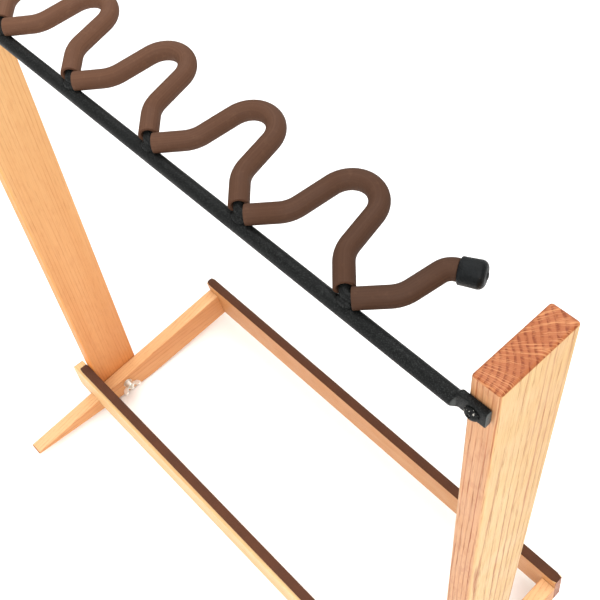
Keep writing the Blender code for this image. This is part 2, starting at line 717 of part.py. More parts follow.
def make_feet(empty):
    """The feet, and the front rail with its pad and screws."""
    front = FOOT_FRONT_Y - FOOT_SPARE
    outline = filleted([(front, foot_under(front)), (BELLY_Y, BELLY_Z), (TAIL_Y, TAIL_Z), (TAIL_Y, foot_top(TAIL_Y)),
                        (front, foot_top(front))],
                       [FOOT_ROUND, BELLY_ROUND, FOOT_ROUND, FOOT_ROUND, FOOT_ROUND], math.radians(20))
    saw_reach = FOOT_SPARE + FRONT_RAIL_TALL
    saw = on_foot_ends(block("foot_front_saw", (-OUTER_X, -saw_reach, -FOOT_SPARE), (OUTER_X, 0, saw_reach)))
    bore = put(drum("foot_bore", BOLT_D / 2 + RUNNING_PLAY, UPRIGHT_SPAN, segments=32),
               (-OUTER_X, PIVOT_Y, PIVOT_Z), ACROSS)
    feet = []
    for side, sign in SIDES.items():
        foot = plate(f"foot_{side}", outline, FOOT_THICK, side_plane(sign * FOOT_MID_X), OAK_DARK)
        ease(foot, FOOT_EASE)
        combine(foot, saw)
        combine(foot, bore)
        feet.append(foot)
        washer = turned(f"washer_{side}", [(WASHER_D / 2, WASHER_THICK), (WASHER_D / 2, 0), (BOLT_D / 2 + GAP, 0),
                                           (BOLT_D / 2 + GAP, WASHER_THICK)], ZINC)
        put(washer, (sign * (WASHER_X - (WASHER_THICK if sign > 0 else 0)), PIVOT_Y, PIVOT_Z), ACROSS)
        if sign < 0:
            washer.location.x = -WASHER_X
        hang([washer], empty)
    hang(feet + make_front_rail(feet), empty)


def make_front_rail(feet):
    """The rail, as long as the feet are apart outside, so that it folds up between the uprights with them."""
    front = -GAP - FRONT_RAIL_THICK
    rail = block("front_rail", (-FOOT_OUT_X, front, 0), (FOOT_OUT_X, -GAP, FRONT_RAIL_TALL), OAK_DARK)
    ease(on_foot_ends(rail), RAIL_EASE)
    pad_front = -GAP - min(PAD_WIDTH, FRONT_RAIL_THICK)
    pad_z = FRONT_RAIL_TALL + GAP
    pad = block("front_pad", (-FOOT_OUT_X, pad_front, pad_z), (FOOT_OUT_X, -GAP, pad_z + PAD_THICK), PAD_BROWN)
    ease(on_foot_ends(pad), PAD_EASE)
    pieces = [rail, pad]
    number = 0
    middle = (foot_top(FOOT_FRONT_Y) - FOOT_NOSE_Z) * math.cos(FOOT_SLOPE) / 2  # of the feet's ends
    for sign, foot in zip(SIDES.values(), feet):
        for level in (-0.5, 0.5):
            number += 1
            matrix = FRONT_END @ Matrix.Translation((sign * FOOT_MID_X, front, middle + level * RAIL_SCREW_SPREAD))
            matrix = matrix @ Matrix.Rotation(math.radians(90), 4, "X")
            pieces.append(rail_screw(number, matrix, rail, foot))
    return pieces


def rail_screw(number, matrix, rail, foot):
    """A countersunk screw, flush with the rail's front, and its hole."""
    r, head = RAIL_SCREW_D / 2, RAIL_SCREW_HEAD_D / 2
    sink = head - r
    profile = [(0, -GAP), (head, -GAP), (head, -GAP - 0.0003), (r, -sink - 2 * GAP), (r, 2 * r - RAIL_SCREW_LENGTH),
               (r * 0.3, -RAIL_SCREW_LENGTH), (0, -RAIL_SCREW_LENGTH)]
    screw = turned(f"front_rail_screw_{number}", profile, ZINC, 20)
    screw.matrix_world = matrix
    cross_cut(screw, f"front_rail_recess_{number}", -GAP, matrix)
    hole = turned(f"front_rail_hole_{number}",
                  [(0, 0.002), (head + GAP, 0.002), (head + GAP, -GAP - 0.0004), (r + GAP, -sink - 2.2 * GAP),
                   (r + GAP, -RAIL_SCREW_LENGTH - GAP), (0, -RAIL_SCREW_LENGTH - GAP)], segments=20)
    hole.matrix_world = matrix
    combine(rail, hole)
    combine(foot, hole)
    return screw


def wing_outline():
    """Outline of both wings through the hub, seen from the side; y is the height over the base."""
    hub = NUT_TOP_D / 2 * 0.8
    curve = [(WING_SPAN / 2 * x, WING_TALL * y) for x, y in WING_CURVE]
    right = [(hub, NUT_TALL * WING_ROOT)] + curve + [(hub, NUT_TALL * 0.8)]
    left = [(-x, y) for x, y in reversed(right)]
    radii = [0.0008, 0.003, 0.003, 0.0022, 0.003, 0.0012]
    return filleted(right + left, radii + radii[::-1], math.radians(25))


def make_wing_nuts():
    for side, sign in SIDES.items():
        nut = drum(f"wing_nut_{side}", NUT_BASE_D / 2, NUT_TALL, ZINC, 24, NUT_TOP_D / 2)
        matrix = Matrix.Translation((sign * NUT_X, PIVOT_Y, PIVOT_Z)) @ Matrix.Rotation(sign * -math.radians(90), 4, "Y")
        matrix = matrix @ Matrix.Rotation(NUT_TURN, 4, "Z")
        wings = plate(f"nut_wings_{side}", wing_outline(), WING_THICK, matrix @ Matrix.Rotation(math.radians(90), 4, "X"))
        ease(wings, WING_THICK * 0.2, 1)
        bore = drum(f"nut_bore_{side}", BOLT_D / 2 + RUNNING_PLAY, 4 * NUT_TALL, segments=32)
        bore.matrix_world = matrix @ Matrix.Translation((0, 0, -NUT_TALL))
        nut.matrix_world = matrix
        combine(nut, wings, "UNION")
        combine(nut, bore)


def main():
    clear_scene()
    posts = make_uprights()
    bar = make_bar()
    make_bar_screws(posts, bar)
    make_rod()
    bar_core = put(drum("bar_core", BAR_D / 2 + GAP, UPRIGHT_SPAN, segments=24), (-OUTER_X, BAR_Y, BAR_Z), ACROSS)
    make_welds(bar_core)
    make_sleeves(bar_core)
    make_caps()
    make_rear_rail(posts)
    make_bolts()
    make_feet(pivot("foot_pivot"))
    make_wing_nuts()


main()
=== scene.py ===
"""Looks of a folding oak stand for a row of guitars.

The solids of the stand are loaded as a fixed frame. Each piece that shows is modelled again in its place
with its fine shape, and takes a finish that is painted by nodes alone.

Metres, +Z up. The origin is on the floor under the middle of the stand, -Y is the front.
"""

import json
import logging
import math
from dataclasses import dataclass, field
from enum import Enum
from typing import Iterable, Sequence

import bmesh
import bpy
from mathutils import Euler, Matrix, Vector, kdtree, noise

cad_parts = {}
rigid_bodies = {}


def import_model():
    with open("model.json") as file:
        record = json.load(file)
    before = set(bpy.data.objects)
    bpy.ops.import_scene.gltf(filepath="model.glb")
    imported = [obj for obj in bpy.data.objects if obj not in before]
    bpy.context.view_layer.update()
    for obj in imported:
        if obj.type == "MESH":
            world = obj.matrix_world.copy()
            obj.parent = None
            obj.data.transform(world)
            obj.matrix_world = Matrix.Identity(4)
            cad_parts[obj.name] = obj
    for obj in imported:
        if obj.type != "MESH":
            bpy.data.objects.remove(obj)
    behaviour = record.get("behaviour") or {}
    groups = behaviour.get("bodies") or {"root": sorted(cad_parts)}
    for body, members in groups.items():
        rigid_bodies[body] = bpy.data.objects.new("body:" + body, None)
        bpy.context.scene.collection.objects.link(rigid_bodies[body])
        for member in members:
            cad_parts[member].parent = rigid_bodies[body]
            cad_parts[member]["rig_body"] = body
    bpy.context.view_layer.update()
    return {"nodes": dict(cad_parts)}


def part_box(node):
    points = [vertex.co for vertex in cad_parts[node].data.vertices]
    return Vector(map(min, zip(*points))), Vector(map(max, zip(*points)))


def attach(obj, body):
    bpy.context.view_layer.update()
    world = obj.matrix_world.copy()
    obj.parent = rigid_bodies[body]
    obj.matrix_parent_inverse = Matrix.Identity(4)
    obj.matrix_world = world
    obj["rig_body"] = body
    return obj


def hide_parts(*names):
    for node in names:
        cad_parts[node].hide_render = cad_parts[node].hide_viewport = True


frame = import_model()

SIDES = {"left": 1, "right": -1}
GAP = 0.0003
HAIR = 0.000001
LUG_LIFT = 0.0007  # the bar's squashed ends above its axis
FOOT_SLOPE = math.radians(7.42)
FRONT_END = Matrix.Translation((0, -0.1548, 0.0146)) @ Matrix.Rotation(-FOOT_SLOPE, 4, "X")

log = logging.getLogger("guitar_stand")
Colour = tuple[float, float, float, float]
WHITE = (1.0, 1.0, 1.0, 1.0)
Stations = list[tuple[Matrix, float, float, float]]


class Grain(Enum):
    """Which way a board's grain runs, as the turn that lays it along +Z."""

    UPRIGHT = (0.0, 0.0, 0.0)
    ACROSS = (0.0, -math.pi / 2, 0.0)
    REARWARD = (math.pi / 2, 0.0, 0.0)


def colour(red: int, green: int, blue: int) -> Colour:
    """Linear colour of an sRGB colour given from 0 to 255."""
    made = []
    for value in (red / 255, green / 255, blue / 255):
        made.append(value / 12.92 if value <= 0.04045 else ((value + 0.055) / 1.055) ** 2.4)
    return made[0], made[1], made[2], 1.0


def tuple_of(red: float, green: float, blue: float) -> Colour:
    """Multiplier of a colour, channel by channel."""
    return red, green, blue, 1.0


class Graph:
    """Adds nodes to a node tree and wires them."""

    def __init__(self, tree: bpy.types.NodeTree) -> None:
        """Takes the tree that the nodes go into."""
        self.tree = tree

    def feed(self, socket: bpy.types.NodeSocket, value: object) -> None:
        """Links a socket to another, or sets its value."""
        if isinstance(value, bpy.types.NodeSocket):
            self.tree.links.new(value, socket)
        else:
            socket.default_value = value

    def node(self, kind: str, inputs: dict | None = None, **settings: object) -> bpy.types.Node:
        """Adds one node.

        Args:
            kind: the node's type.
            inputs: values or sockets by input name or number.
            settings: the node's own properties.

        Returns:
            The new node.
        """
        made = self.tree.nodes.new(kind)
        for key, value in settings.items():
            setattr(made, key, value)
        for key, value in (inputs or {}).items():
            self.feed(made.inputs[key], value)
        return made

    def math(self, operation: str, *values: object) -> bpy.types.NodeSocket:
        """Adds a Math node and returns its result."""
        return self.node("ShaderNodeMath", dict(enumerate(values)), operation=operation).outputs[0]

    def vector(self, operation: str, *values: object) -> bpy.types.NodeSocket:
        """Adds a Vector Math node and returns its result, a number for a length or a dot product."""
        made = self.node("ShaderNodeVectorMath", dict(enumerate(values)), operation=operation)
        return made.outputs["Value" if operation in ("DOT_PRODUCT", "LENGTH") else "Vector"]

    def scaled(self, vector: object, factor: object) -> bpy.types.NodeSocket:
        """Scales a vector or a colour by one number."""
        return self.node("ShaderNodeVectorMath", {0: vector, "Scale": factor}, operation="SCALE").outputs[0]

    def noise(self, place: object, grain: Sequence[float], detail: float = 2.0,
              roughness: float = 0.5, coloured: bool = False) -> bpy.types.NodeSocket:
        """Adds noise that has so many lumps a metre along x, y and z.

        Args:
            place: the socket with the coordinates.
            grain: lumps a metre along each axis.
            detail: how many finer layers are added.
            roughness: the share of each finer layer.
            coloured: whether three unlike values are wanted.

        Returns:
            The noise from 0 to 1, or a colour.
        """
        scaled = self.vector("MULTIPLY", place, tuple(grain))
        made = self.node("ShaderNodeTexNoise", {"Vector": scaled, "Scale": 1.0, "Detail": detail,
                                                "Roughness": roughness})
        return made.outputs[1 if coloured else 0]

    def span(self, value: object, low: float, high: float, to_low: float = 0.0, to_high: float = 1.0,
             soft: bool = True) -> bpy.types.NodeSocket:
        """Maps a range of a value to another range, with soft or straight ends."""
        made = self.node("ShaderNodeMapRange", {"Value": value, "From Min": low, "From Max": high,
                                                "To Min": to_low, "To Max": to_high},
                         interpolation_type="SMOOTHSTEP" if soft else "LINEAR")
        return made.outputs[0]

    def mix(self, share: object, first: object, second: object, blend: str = "MIX") -> bpy.types.NodeSocket:
        """Mixes two colours by a share of the second."""
        made = self.node("ShaderNodeMix", {0: share, 6: first, 7: second}, data_type="RGBA", blend_type=blend)
        return made.outputs[2]

    def group(self, tree: bpy.types.NodeTree, inputs: dict | None = None) -> bpy.types.Node:
        """Places a node group with its own values."""
        made = self.tree.nodes.new("ShaderNodeGroup")
        made.node_tree = tree
        for key, value in (inputs or {}).items():
            self.feed(made.inputs[key], value)
        return made

    def bump(self, height: object, distance: float, strength: float = 1.0) -> bpy.types.NodeSocket:
        """Turns a height into a normal."""
        made = self.node("ShaderNodeBump", {"Height": height, "Distance": distance, "Strength": strength})
        return made.outputs[0]


def shared_effect(name: str, inputs: dict[str, object], outputs: Iterable[str]) -> tuple[Graph, dict, dict]:
    """Starts a node group that several finishes share.

    Args:
        name: the group's name.
        inputs: default values by name; None stands for a vector.
        outputs: names of the values it puts out.

    Returns:
        The graph, the sockets that give its inputs, and the sockets that take its outputs, by name.
    """
    tree = bpy.data.node_groups.new(name, "ShaderNodeTree")
    for label, value in inputs.items():
        kind = "NodeSocketVector" if value is None else "NodeSocketFloat"
        socket = tree.interface.new_socket(name=label, in_out="INPUT", socket_type=kind)
        if value is not None:
            socket.default_value = value
    for label in outputs:
        tree.interface.new_socket(name=label, in_out="OUTPUT", socket_type="NodeSocketFloat")
    graph = Graph(tree)
    given = graph.node("NodeGroupInput")
    taken = graph.node("NodeGroupOutput")
    return graph, {s.name: s for s in given.outputs if s.name}, {s.name: s for s in taken.inputs if s.name}


def oak_figure() -> bpy.types.NodeTree:
    """Growth rings, pores, rays and fibres of oak about a pith on the z axis, with the grain along z."""
    found = bpy.data.node_groups.get("oak_figure")
    if found:
        return found
    graph, given, taken = shared_effect("oak_figure", {"Place": None, "Ring Width": 0.0048},
                                        ("Lines", "Bands", "Pores", "Rays", "Fibre", "Tone"))
    place = given["Place"]
    half = (0.5, 0.5, 0.5)
    slow = graph.vector("SUBTRACT", graph.noise(place, (14, 14, 2.2), 1.0, coloured=True), half)
    fine = graph.vector("SUBTRACT", graph.noise(place, (260, 260, 22), 2.0, coloured=True), half)
    bent = graph.vector("ADD", place, graph.vector("MULTIPLY", slow, (0.016, 0.016, 0.0)))
    bent = graph.vector("ADD", bent, graph.vector("MULTIPLY", fine, (0.0013, 0.0013, 0.0)))
    axes = graph.node("ShaderNodeSeparateXYZ", {0: bent})
    x, y, z = axes.outputs
    radius = graph.math("SQRT", graph.math("ADD", graph.math("MULTIPLY", x, x), graph.math("MULTIPLY", y, y)))
    angle = graph.math("ARCTAN2", y, x)
    uneven = graph.math("MULTIPLY", graph.noise(place, (60, 60, 1.5), 1.0), 0.5)
    ring = graph.math("ADD", graph.math("DIVIDE", radius, given["Ring Width"]), uneven)
    turn = graph.math("FRACT", ring)
    rising = graph.span(turn, 0.88, 1.0)
    band = graph.math("MAXIMUM", rising, graph.span(turn, 0.12, 0.58, 1.0, 0.0))
    line = graph.math("MAXIMUM", rising, graph.span(turn, 0.02, 0.24, 1.0, 0.0))
    patches = graph.span(graph.noise(place, (190, 190, 7), 2.0), 0.36, 0.62, 0.12, 1.0)
    tubes = graph.span(graph.noise(place, (1900, 1900, 52), 1.0), 0.55, 0.68)
    pores = graph.math("MULTIPLY", tubes, graph.math("ADD", graph.math("MULTIPLY", band, 0.8), 0.2))
    fan = graph.node("ShaderNodeCombineXYZ", {0: graph.math("MULTIPLY", angle, 62.0),
                                              1: graph.math("MULTIPLY", radius, 45.0),
                                              2: graph.math("MULTIPLY", z, 48.0)})
    rays = graph.span(graph.noise(fan.outputs[0], (1, 1, 1), 3.0, 0.7), 0.5, 0.64)
    graph.feed(taken["Lines"], graph.math("MULTIPLY", line, patches))
    graph.feed(taken["Bands"], graph.math("MULTIPLY", band, graph.span(graph.noise(place, (430, 430, 12), 2.0), 0.38, 0.58, 0.2)))
    graph.feed(taken["Pores"], pores)
    graph.feed(taken["Rays"], rays)
    graph.feed(taken["Fibre"], graph.noise(bent, (950, 950, 11), 3.0, 0.6))
    graph.feed(taken["Tone"], graph.span(graph.noise(place, (30, 30, 2.5), 2.0), 0.3, 0.7))
    return graph.tree


def surface_wear() -> bpy.types.NodeTree:
    """Uneven gloss, fine scuffs and dust that most finishes share."""
    found = bpy.data.node_groups.get("surface_wear")
    if found:
        return found
    graph, given, taken = shared_effect("surface_wear", {"Place": None, "Scale": 1.0},
                                        ("Smudge", "Scuff", "Dust", "Specks"))
    scaled = graph.scaled(given["Place"], given["Scale"])
    graph.feed(taken["Smudge"], graph.span(graph.noise(scaled, (38, 38, 38), 3.0), 0.35, 0.7))
    scratches = graph.math("MULTIPLY", graph.span(graph.noise(scaled, (900, 900, 40), 2.0), 0.6, 0.72),
                           graph.span(graph.noise(scaled, (60, 60, 60), 1.0), 0.45, 0.65))
    graph.feed(taken["Scuff"], scratches)
    graph.feed(taken["Dust"], graph.span(graph.noise(scaled, (260, 260, 260), 4.0, 0.7), 0.52, 0.8))
    cells = graph.node("ShaderNodeTexVoronoi", {"Vector": scaled, "Scale": 900.0}, feature="F1")
    graph.feed(taken["Specks"], graph.span(cells.outputs["Distance"], 0.12, 0.3, 1.0, 0.0))
    return graph.tree


def grained_skin() -> bpy.types.NodeTree:
    """Height of a powder coat's or rubber's fine lumpy skin, and its tiny bright specks."""
    found = bpy.data.node_groups.get("grained_skin")
    if found:
        return found
    graph, given, taken = shared_effect("grained_skin", {"Place": None, "Lumps": 1300.0}, ("Height", "Glint"))
    scaled = graph.scaled(given["Place"], given["Lumps"])
    coarse = graph.node("ShaderNodeTexNoise", {"Vector": scaled, "Scale": 1.0, "Detail": 2.0}).outputs[0]
    fine = graph.node("ShaderNodeTexNoise", {"Vector": scaled, "Scale": 3.1, "Detail": 1.0}).outputs[0]
    graph.feed(taken["Height"], graph.math("ADD", coarse, graph.math("MULTIPLY", fine, 0.35)))
    graph.feed(taken["Glint"], graph.span(fine, 0.6, 0.78))
    return graph.tree


def blank_finish(name: str) -> tuple[bpy.types.Material, Graph, bpy.types.Node]:
    """Starts a material with its shader."""
    mat = bpy.data.materials.new(name)
    mat.use_nodes = True
    return mat, Graph(mat.node_tree), mat.node_tree.nodes["Principled BSDF"]


@dataclass(frozen=True)
class Oak:
    """Oiled oak, cut from a log at a chosen place."""

    name: str
    grain: Grain
    middle: tuple[float, float, float]
    pith: tuple[float, float] = (0.035, 0.035)
    ring_width: float = 0.0038
    figure: float = 0.5
    pale: Colour = colour(216, 180, 128)
    deep: Colour = colour(208, 166, 112)
    line: Colour = colour(172, 104, 52)
    end_pale: Colour = colour(149, 83, 45)
    end_band: Colour = colour(114, 47, 12)
    end_ray: Colour = colour(186, 126, 80)
    pore: Colour = colour(136, 78, 36)
    # painted shade and light: colour multipliers for faces that look along x, y and z
    painted_face_shades: tuple[Colour, Colour, Colour] = (WHITE, WHITE, WHITE)
    # painted shade: colour multiplier at the low end of the grain axis, fading out over reach to the high end
    painted_low_end_shade: Colour = WHITE
    reach: float = 0.35

    def material(self) -> bpy.types.Material:
        """Paints rings, pores and rays, with end grain where a face looks along the grain, and painted light and shade
        by the way each face looks and by height.
        """
        mat, graph, shader = blank_finish(self.name)
        turn = Euler(self.grain.value).to_matrix()
        centre = turn @ Vector(self.middle) + Vector((*self.pith, 0.0))
        coords = graph.node("ShaderNodeTexCoord")
        place = graph.node("ShaderNodeMapping", {"Vector": coords.outputs["Object"], "Location": -centre,
                                                 "Rotation": self.grain.value}, vector_type="POINT").outputs[0]
        figure = graph.group(oak_figure(), {"Place": place, "Ring Width": self.ring_width}).outputs
        wear = graph.group(surface_wear(), {"Place": place}).outputs
        normal = coords.outputs["Normal"]
        along = tuple(turn.inverted() @ Vector((0, 0, 1)))
        end = graph.span(graph.math("ABSOLUTE", graph.vector("DOT_PRODUCT", normal, along)), 0.25, 0.5)
        side = graph.mix(figure["Tone"], self.pale, self.deep)
        side = graph.mix(graph.math("MULTIPLY", figure["Lines"], self.figure), side, self.line)
        side = graph.mix(graph.math("MULTIPLY", figure["Rays"], self.figure * 0.3), side, self.line)
        side = graph.mix(graph.math("MULTIPLY", figure["Pores"], self.figure * 0.6), side, self.pore)
        side = graph.scaled(side, graph.span(figure["Fibre"], 0.3, 0.7, 1 - self.figure * 0.12, 1 + self.figure * 0.08,
                                             soft=False))
        # Painted shade and light: each face's colour is multiplied by a mix of three tints, chosen by the way the face
        # looks along x, y and z.
        shares = graph.node("ShaderNodeSeparateXYZ", {0: graph.vector("MULTIPLY", normal, normal)}).outputs
        painted_face_shade = graph.scaled(self.painted_face_shades[0][:3], shares[0])
        for own, share in zip(self.painted_face_shades[1:], shares[1:]):
            painted_face_shade = graph.vector("ADD", painted_face_shade, graph.scaled(own[:3], share))
        side = graph.mix(1.0, side, painted_face_shade, "MULTIPLY")
        # Painted shade: the colour is multiplied by a colour that is full at the low end of the grain axis and fades
        # out towards the high end, so an upright darkens towards the floor.
        height = graph.node("ShaderNodeSeparateXYZ", {0: place}).outputs[2]
        side = graph.mix(graph.span(height, -self.reach, self.reach, 1.0, 0.0, soft=False), side, self.painted_low_end_shade, "MULTIPLY")
        cut = graph.mix(figure["Bands"], self.end_pale, self.end_band)
        cut = graph.mix(graph.math("MULTIPLY", figure["Pores"], 0.5), cut, self.pore)
        cut = graph.mix(graph.math("MULTIPLY", figure["Rays"], 0.75), cut, self.end_ray)
        graph.feed(shader.inputs["Base Color"], graph.mix(end, side, cut))
        dull = graph.math("ADD", 0.44, graph.math("MULTIPLY", figure["Pores"], 0.2))
        dull = graph.math("ADD", dull, graph.math("MULTIPLY", wear["Smudge"], 0.08))
        graph.feed(shader.inputs["Roughness"], dull)
        relief = graph.math("SUBTRACT", graph.math("MULTIPLY", figure["Fibre"], 0.35),
                            graph.math("ADD", figure["Pores"], graph.math("MULTIPLY", figure["Lines"], 0.3)))
        graph.feed(shader.inputs["Normal"], graph.bump(relief, 0.00022, 0.5))
        shader.inputs["Specular IOR Level"].default_value = 0.3
        return mat


@dataclass(frozen=True)
class PowderCoat:
    """Matt black powder coat on steel, worn to bare metal where asked, with a painted highlight on faces that look
    along x where asked.
    """

    name: str
    base: Colour = colour(8, 9, 9)
    # pale colour of the specks and the dust, and of the painted highlight on faces that look along x
    speck_dust_and_end_light: Colour = colour(96, 100, 98)
    bare: Colour = colour(190, 186, 178)
    worn: float = 0.0
    painted_end_light: float = 0.0

    def material(self) -> bpy.types.Material:
        """Paints the coat, its specks and its worn spots."""
        mat, graph, shader = blank_finish(self.name)
        coords = graph.node("ShaderNodeTexCoord").outputs
        place = coords["Object"]
        skin = graph.group(grained_skin(), {"Place": place, "Lumps": 1500.0}).outputs
        wear = graph.group(surface_wear(), {"Place": place}).outputs
        patchy = graph.span(graph.noise(place, (1500, 1500, 1500), 2.0), 0.5, 0.66)
        base = graph.mix(graph.math("MULTIPLY", graph.math("MAXIMUM", skin["Glint"], patchy), 0.12), self.base, self.speck_dust_and_end_light)
        base = graph.mix(graph.math("MULTIPLY", wear["Dust"], 0.06), base, self.speck_dust_and_end_light)
        # Painted highlight: faces that look along x, such as the bar's squashed ends, are mixed towards the pale
        # colour.
        sideways = graph.math("ABSOLUTE", graph.vector("DOT_PRODUCT", coords["Normal"], (1.0, 0.0, 0.0)))
        base = graph.mix(graph.span(sideways, 0.7, 0.95, 0.0, self.painted_end_light), base, self.speck_dust_and_end_light)
        rubbed = graph.math("MULTIPLY", wear["Scuff"], self.worn)
        graph.feed(shader.inputs["Base Color"], graph.mix(rubbed, base, self.bare))
        graph.feed(shader.inputs["Metallic"], rubbed)
        graph.feed(shader.inputs["Roughness"], graph.span(wear["Smudge"], 0.0, 1.0, 0.42, 0.56, soft=False))
        graph.feed(shader.inputs["Normal"], graph.bump(skin["Height"], 0.00012, 0.8))
        shader.inputs["Specular IOR Level"].default_value = 0.11
        return mat


@dataclass(frozen=True)
class Tubing:
    """Brown soft tubing, with its texture laid along the unbent tube."""

    name: str
    base: Colour = colour(72, 48, 35)
    worn: Colour = colour(98, 70, 52)
    cut: Colour = colour(84, 55, 40)
    outer: float = 0.0065

    def material(self) -> bpy.types.Material:
        """Paints the tube's skin, fine draw lines, the paler cut ends, and painted light that brightens the sleeves
        towards +x.
        """
        mat, graph, shader = blank_finish(self.name)
        place = graph.node("ShaderNodeAttribute", attribute_name="unbent").outputs["Vector"]
        skin = graph.group(grained_skin(), {"Place": place, "Lumps": 900.0}).outputs
        wear = graph.group(surface_wear(), {"Place": place}).outputs
        lines = graph.noise(place, (1100, 1100, 6), 2.0)
        flat = graph.vector("LENGTH", graph.vector("MULTIPLY", place, (1.0, 1.0, 0.0)))
        rim = graph.span(flat, self.outer * 0.9, self.outer * 0.97, 1.0, 0.0)
        dark = graph.span(flat, self.outer * 0.7, self.outer * 0.8)
        inner = graph.math("MULTIPLY", rim, dark)
        base = graph.mix(graph.span(lines, 0.3, 0.75, 0.0, 0.2), self.base, self.worn)
        base = graph.mix(graph.math("MULTIPLY", wear["Dust"], 0.35), base, self.worn)
        # Painted light: the colour is scaled from 0.72 at x = -0.22 up to 1.52 at x = 0.13, so sleeves towards +x look
        # lit and those towards -x shaded.
        painted_light_x = graph.node("ShaderNodeSeparateXYZ", {0: graph.node("ShaderNodeTexCoord").outputs["Object"]}).outputs[0]
        base = graph.scaled(base, graph.span(painted_light_x, -0.22, 0.13, 0.72, 1.52, soft=False))
        graph.feed(shader.inputs["Base Color"], graph.mix(graph.math("MULTIPLY", inner, 0.7), base, self.cut))
        graph.feed(shader.inputs["Roughness"], graph.span(wear["Smudge"], 0.0, 1.0, 0.6, 0.8, soft=False))
        height = graph.math("ADD", graph.math("MULTIPLY", lines, 0.3), skin["Height"])
        graph.feed(shader.inputs["Normal"], graph.bump(height, 0.00008, 0.6))
        shader.inputs["Specular IOR Level"].default_value = 0.12
        return mat


@dataclass(frozen=True)
class Rubber:
    """Moulded rubber, black or pale."""

    name: str
    base: Colour
    bloom: Colour
    roughness: float = 0.55
    lumps: float = 750.0

    def material(self) -> bpy.types.Material:
        """Paints the skin with its mottled bloom."""
        mat, graph, shader = blank_finish(self.name)
        place = graph.node("ShaderNodeTexCoord").outputs["Object"]
        skin = graph.group(grained_skin(), {"Place": place, "Lumps": self.lumps}).outputs
        wear = graph.group(surface_wear(), {"Place": place, "Scale": 2.2}).outputs
        base = graph.mix(graph.math("MULTIPLY", wear["Smudge"], 0.5), self.base, self.bloom)
        graph.feed(shader.inputs["Base Color"], graph.mix(graph.math("MULTIPLY", wear["Dust"], 0.3), base, self.bloom))
        graph.feed(shader.inputs["Roughness"],
                   graph.span(wear["Smudge"], 0.0, 1.0, self.roughness - 0.1, self.roughness + 0.1, soft=False))
        graph.feed(shader.inputs["Normal"], graph.bump(skin["Height"], 0.0004, 0.9))
        shader.inputs["Specular IOR Level"].default_value = 0.12
        return mat


@dataclass(frozen=True)
class Foam:
    """Dense brown foam strip of the rails' pads."""

    name: str
    base: Colour = colour(80, 48, 33)
    crumb: Colour = colour(104, 60, 38)
    cell: Colour = colour(50, 29, 19)

    def material(self) -> bpy.types.Material:
        """Paints closed cells and a slight nap."""
        mat, graph, shader = blank_finish(self.name)
        place = graph.node("ShaderNodeTexCoord").outputs["Object"]
        wear = graph.group(surface_wear(), {"Place": place}).outputs
        cells = graph.node("ShaderNodeTexVoronoi", {"Vector": place, "Scale": 1700.0}, feature="F1").outputs["Distance"]
        pits = graph.span(cells, 0.05, 0.5, 1.0, 0.0)
        base = graph.mix(graph.math("MULTIPLY", pits, 0.5), self.base, self.cell)
        base = graph.mix(graph.math("MULTIPLY", wear["Specks"], 0.45), base, self.crumb)
        base = graph.mix(graph.math("MULTIPLY", wear["Smudge"], 0.25), base, self.crumb)
        graph.feed(shader.inputs["Base Color"], base)
        graph.feed(shader.inputs["Roughness"], graph.span(pits, 0.0, 1.0, 0.78, 0.95, soft=False))
        graph.feed(shader.inputs["Normal"], graph.bump(graph.math("MULTIPLY", pits, -1.0), 0.00015, 0.8))
        shader.inputs["Sheen Weight"].default_value = 0.04
        shader.inputs["Specular IOR Level"].default_value = 0.2
        return mat


@dataclass(frozen=True)
class Zinc:
    """Plated steel of the bolts, washers and nuts."""

    name: str
    base: Colour = colour(232, 230, 222)
    dull: Colour = colour(200, 197, 188)
    grain: float = 420.0

    def material(self) -> bpy.types.Material:
        """Paints the plating with its cloudy dull patches and fine scuffs."""
        mat, graph, shader = blank_finish(self.name)
        place = graph.node("ShaderNodeTexCoord").outputs["Object"]
        wear = graph.group(surface_wear(), {"Place": place, "Scale": 3.0}).outputs
        skin = graph.group(grained_skin(), {"Place": place, "Lumps": self.grain * 4}).outputs
        base = graph.mix(graph.math("MULTIPLY", wear["Smudge"], 0.6), self.base, self.dull)
        graph.feed(shader.inputs["Base Color"], graph.mix(graph.math("MULTIPLY", wear["Dust"], 0.3), base, self.dull))
        rough = graph.math("ADD", graph.span(wear["Smudge"], 0.0, 1.0, 0.4, 0.58, soft=False),
                           graph.math("MULTIPLY", wear["Scuff"], 0.2))
        graph.feed(shader.inputs["Roughness"], rough)
        graph.feed(shader.inputs["Normal"], graph.bump(skin["Height"], 0.00006, 0.6))
        shader.inputs["Metallic"].default_value = 1.0
        return mat


def bevel(bm: bmesh.types.BMesh, geom: Iterable, width: float, segments: int = 3, affect: str = "EDGES") -> None:
    """Rounds edges, or corners of a flat outline when it affects vertices."""
    bmesh.ops.bevel(bm, geom=list(geom), offset=width, offset_type="OFFSET", segments=segments, profile=0.5,
                    affect=affect, material=-1, clamp_overlap=False)


def board(low: Vector, high: Vector) -> bmesh.types.BMesh:
    """A squared board between two corners."""
    bm = bmesh.new()
    bmesh.ops.create_cube(bm, size=1)
    bmesh.ops.scale(bm, vec=high - low, verts=bm.verts)
    bmesh.ops.translate(bm, vec=(low + high) / 2, verts=bm.verts)
    return bm


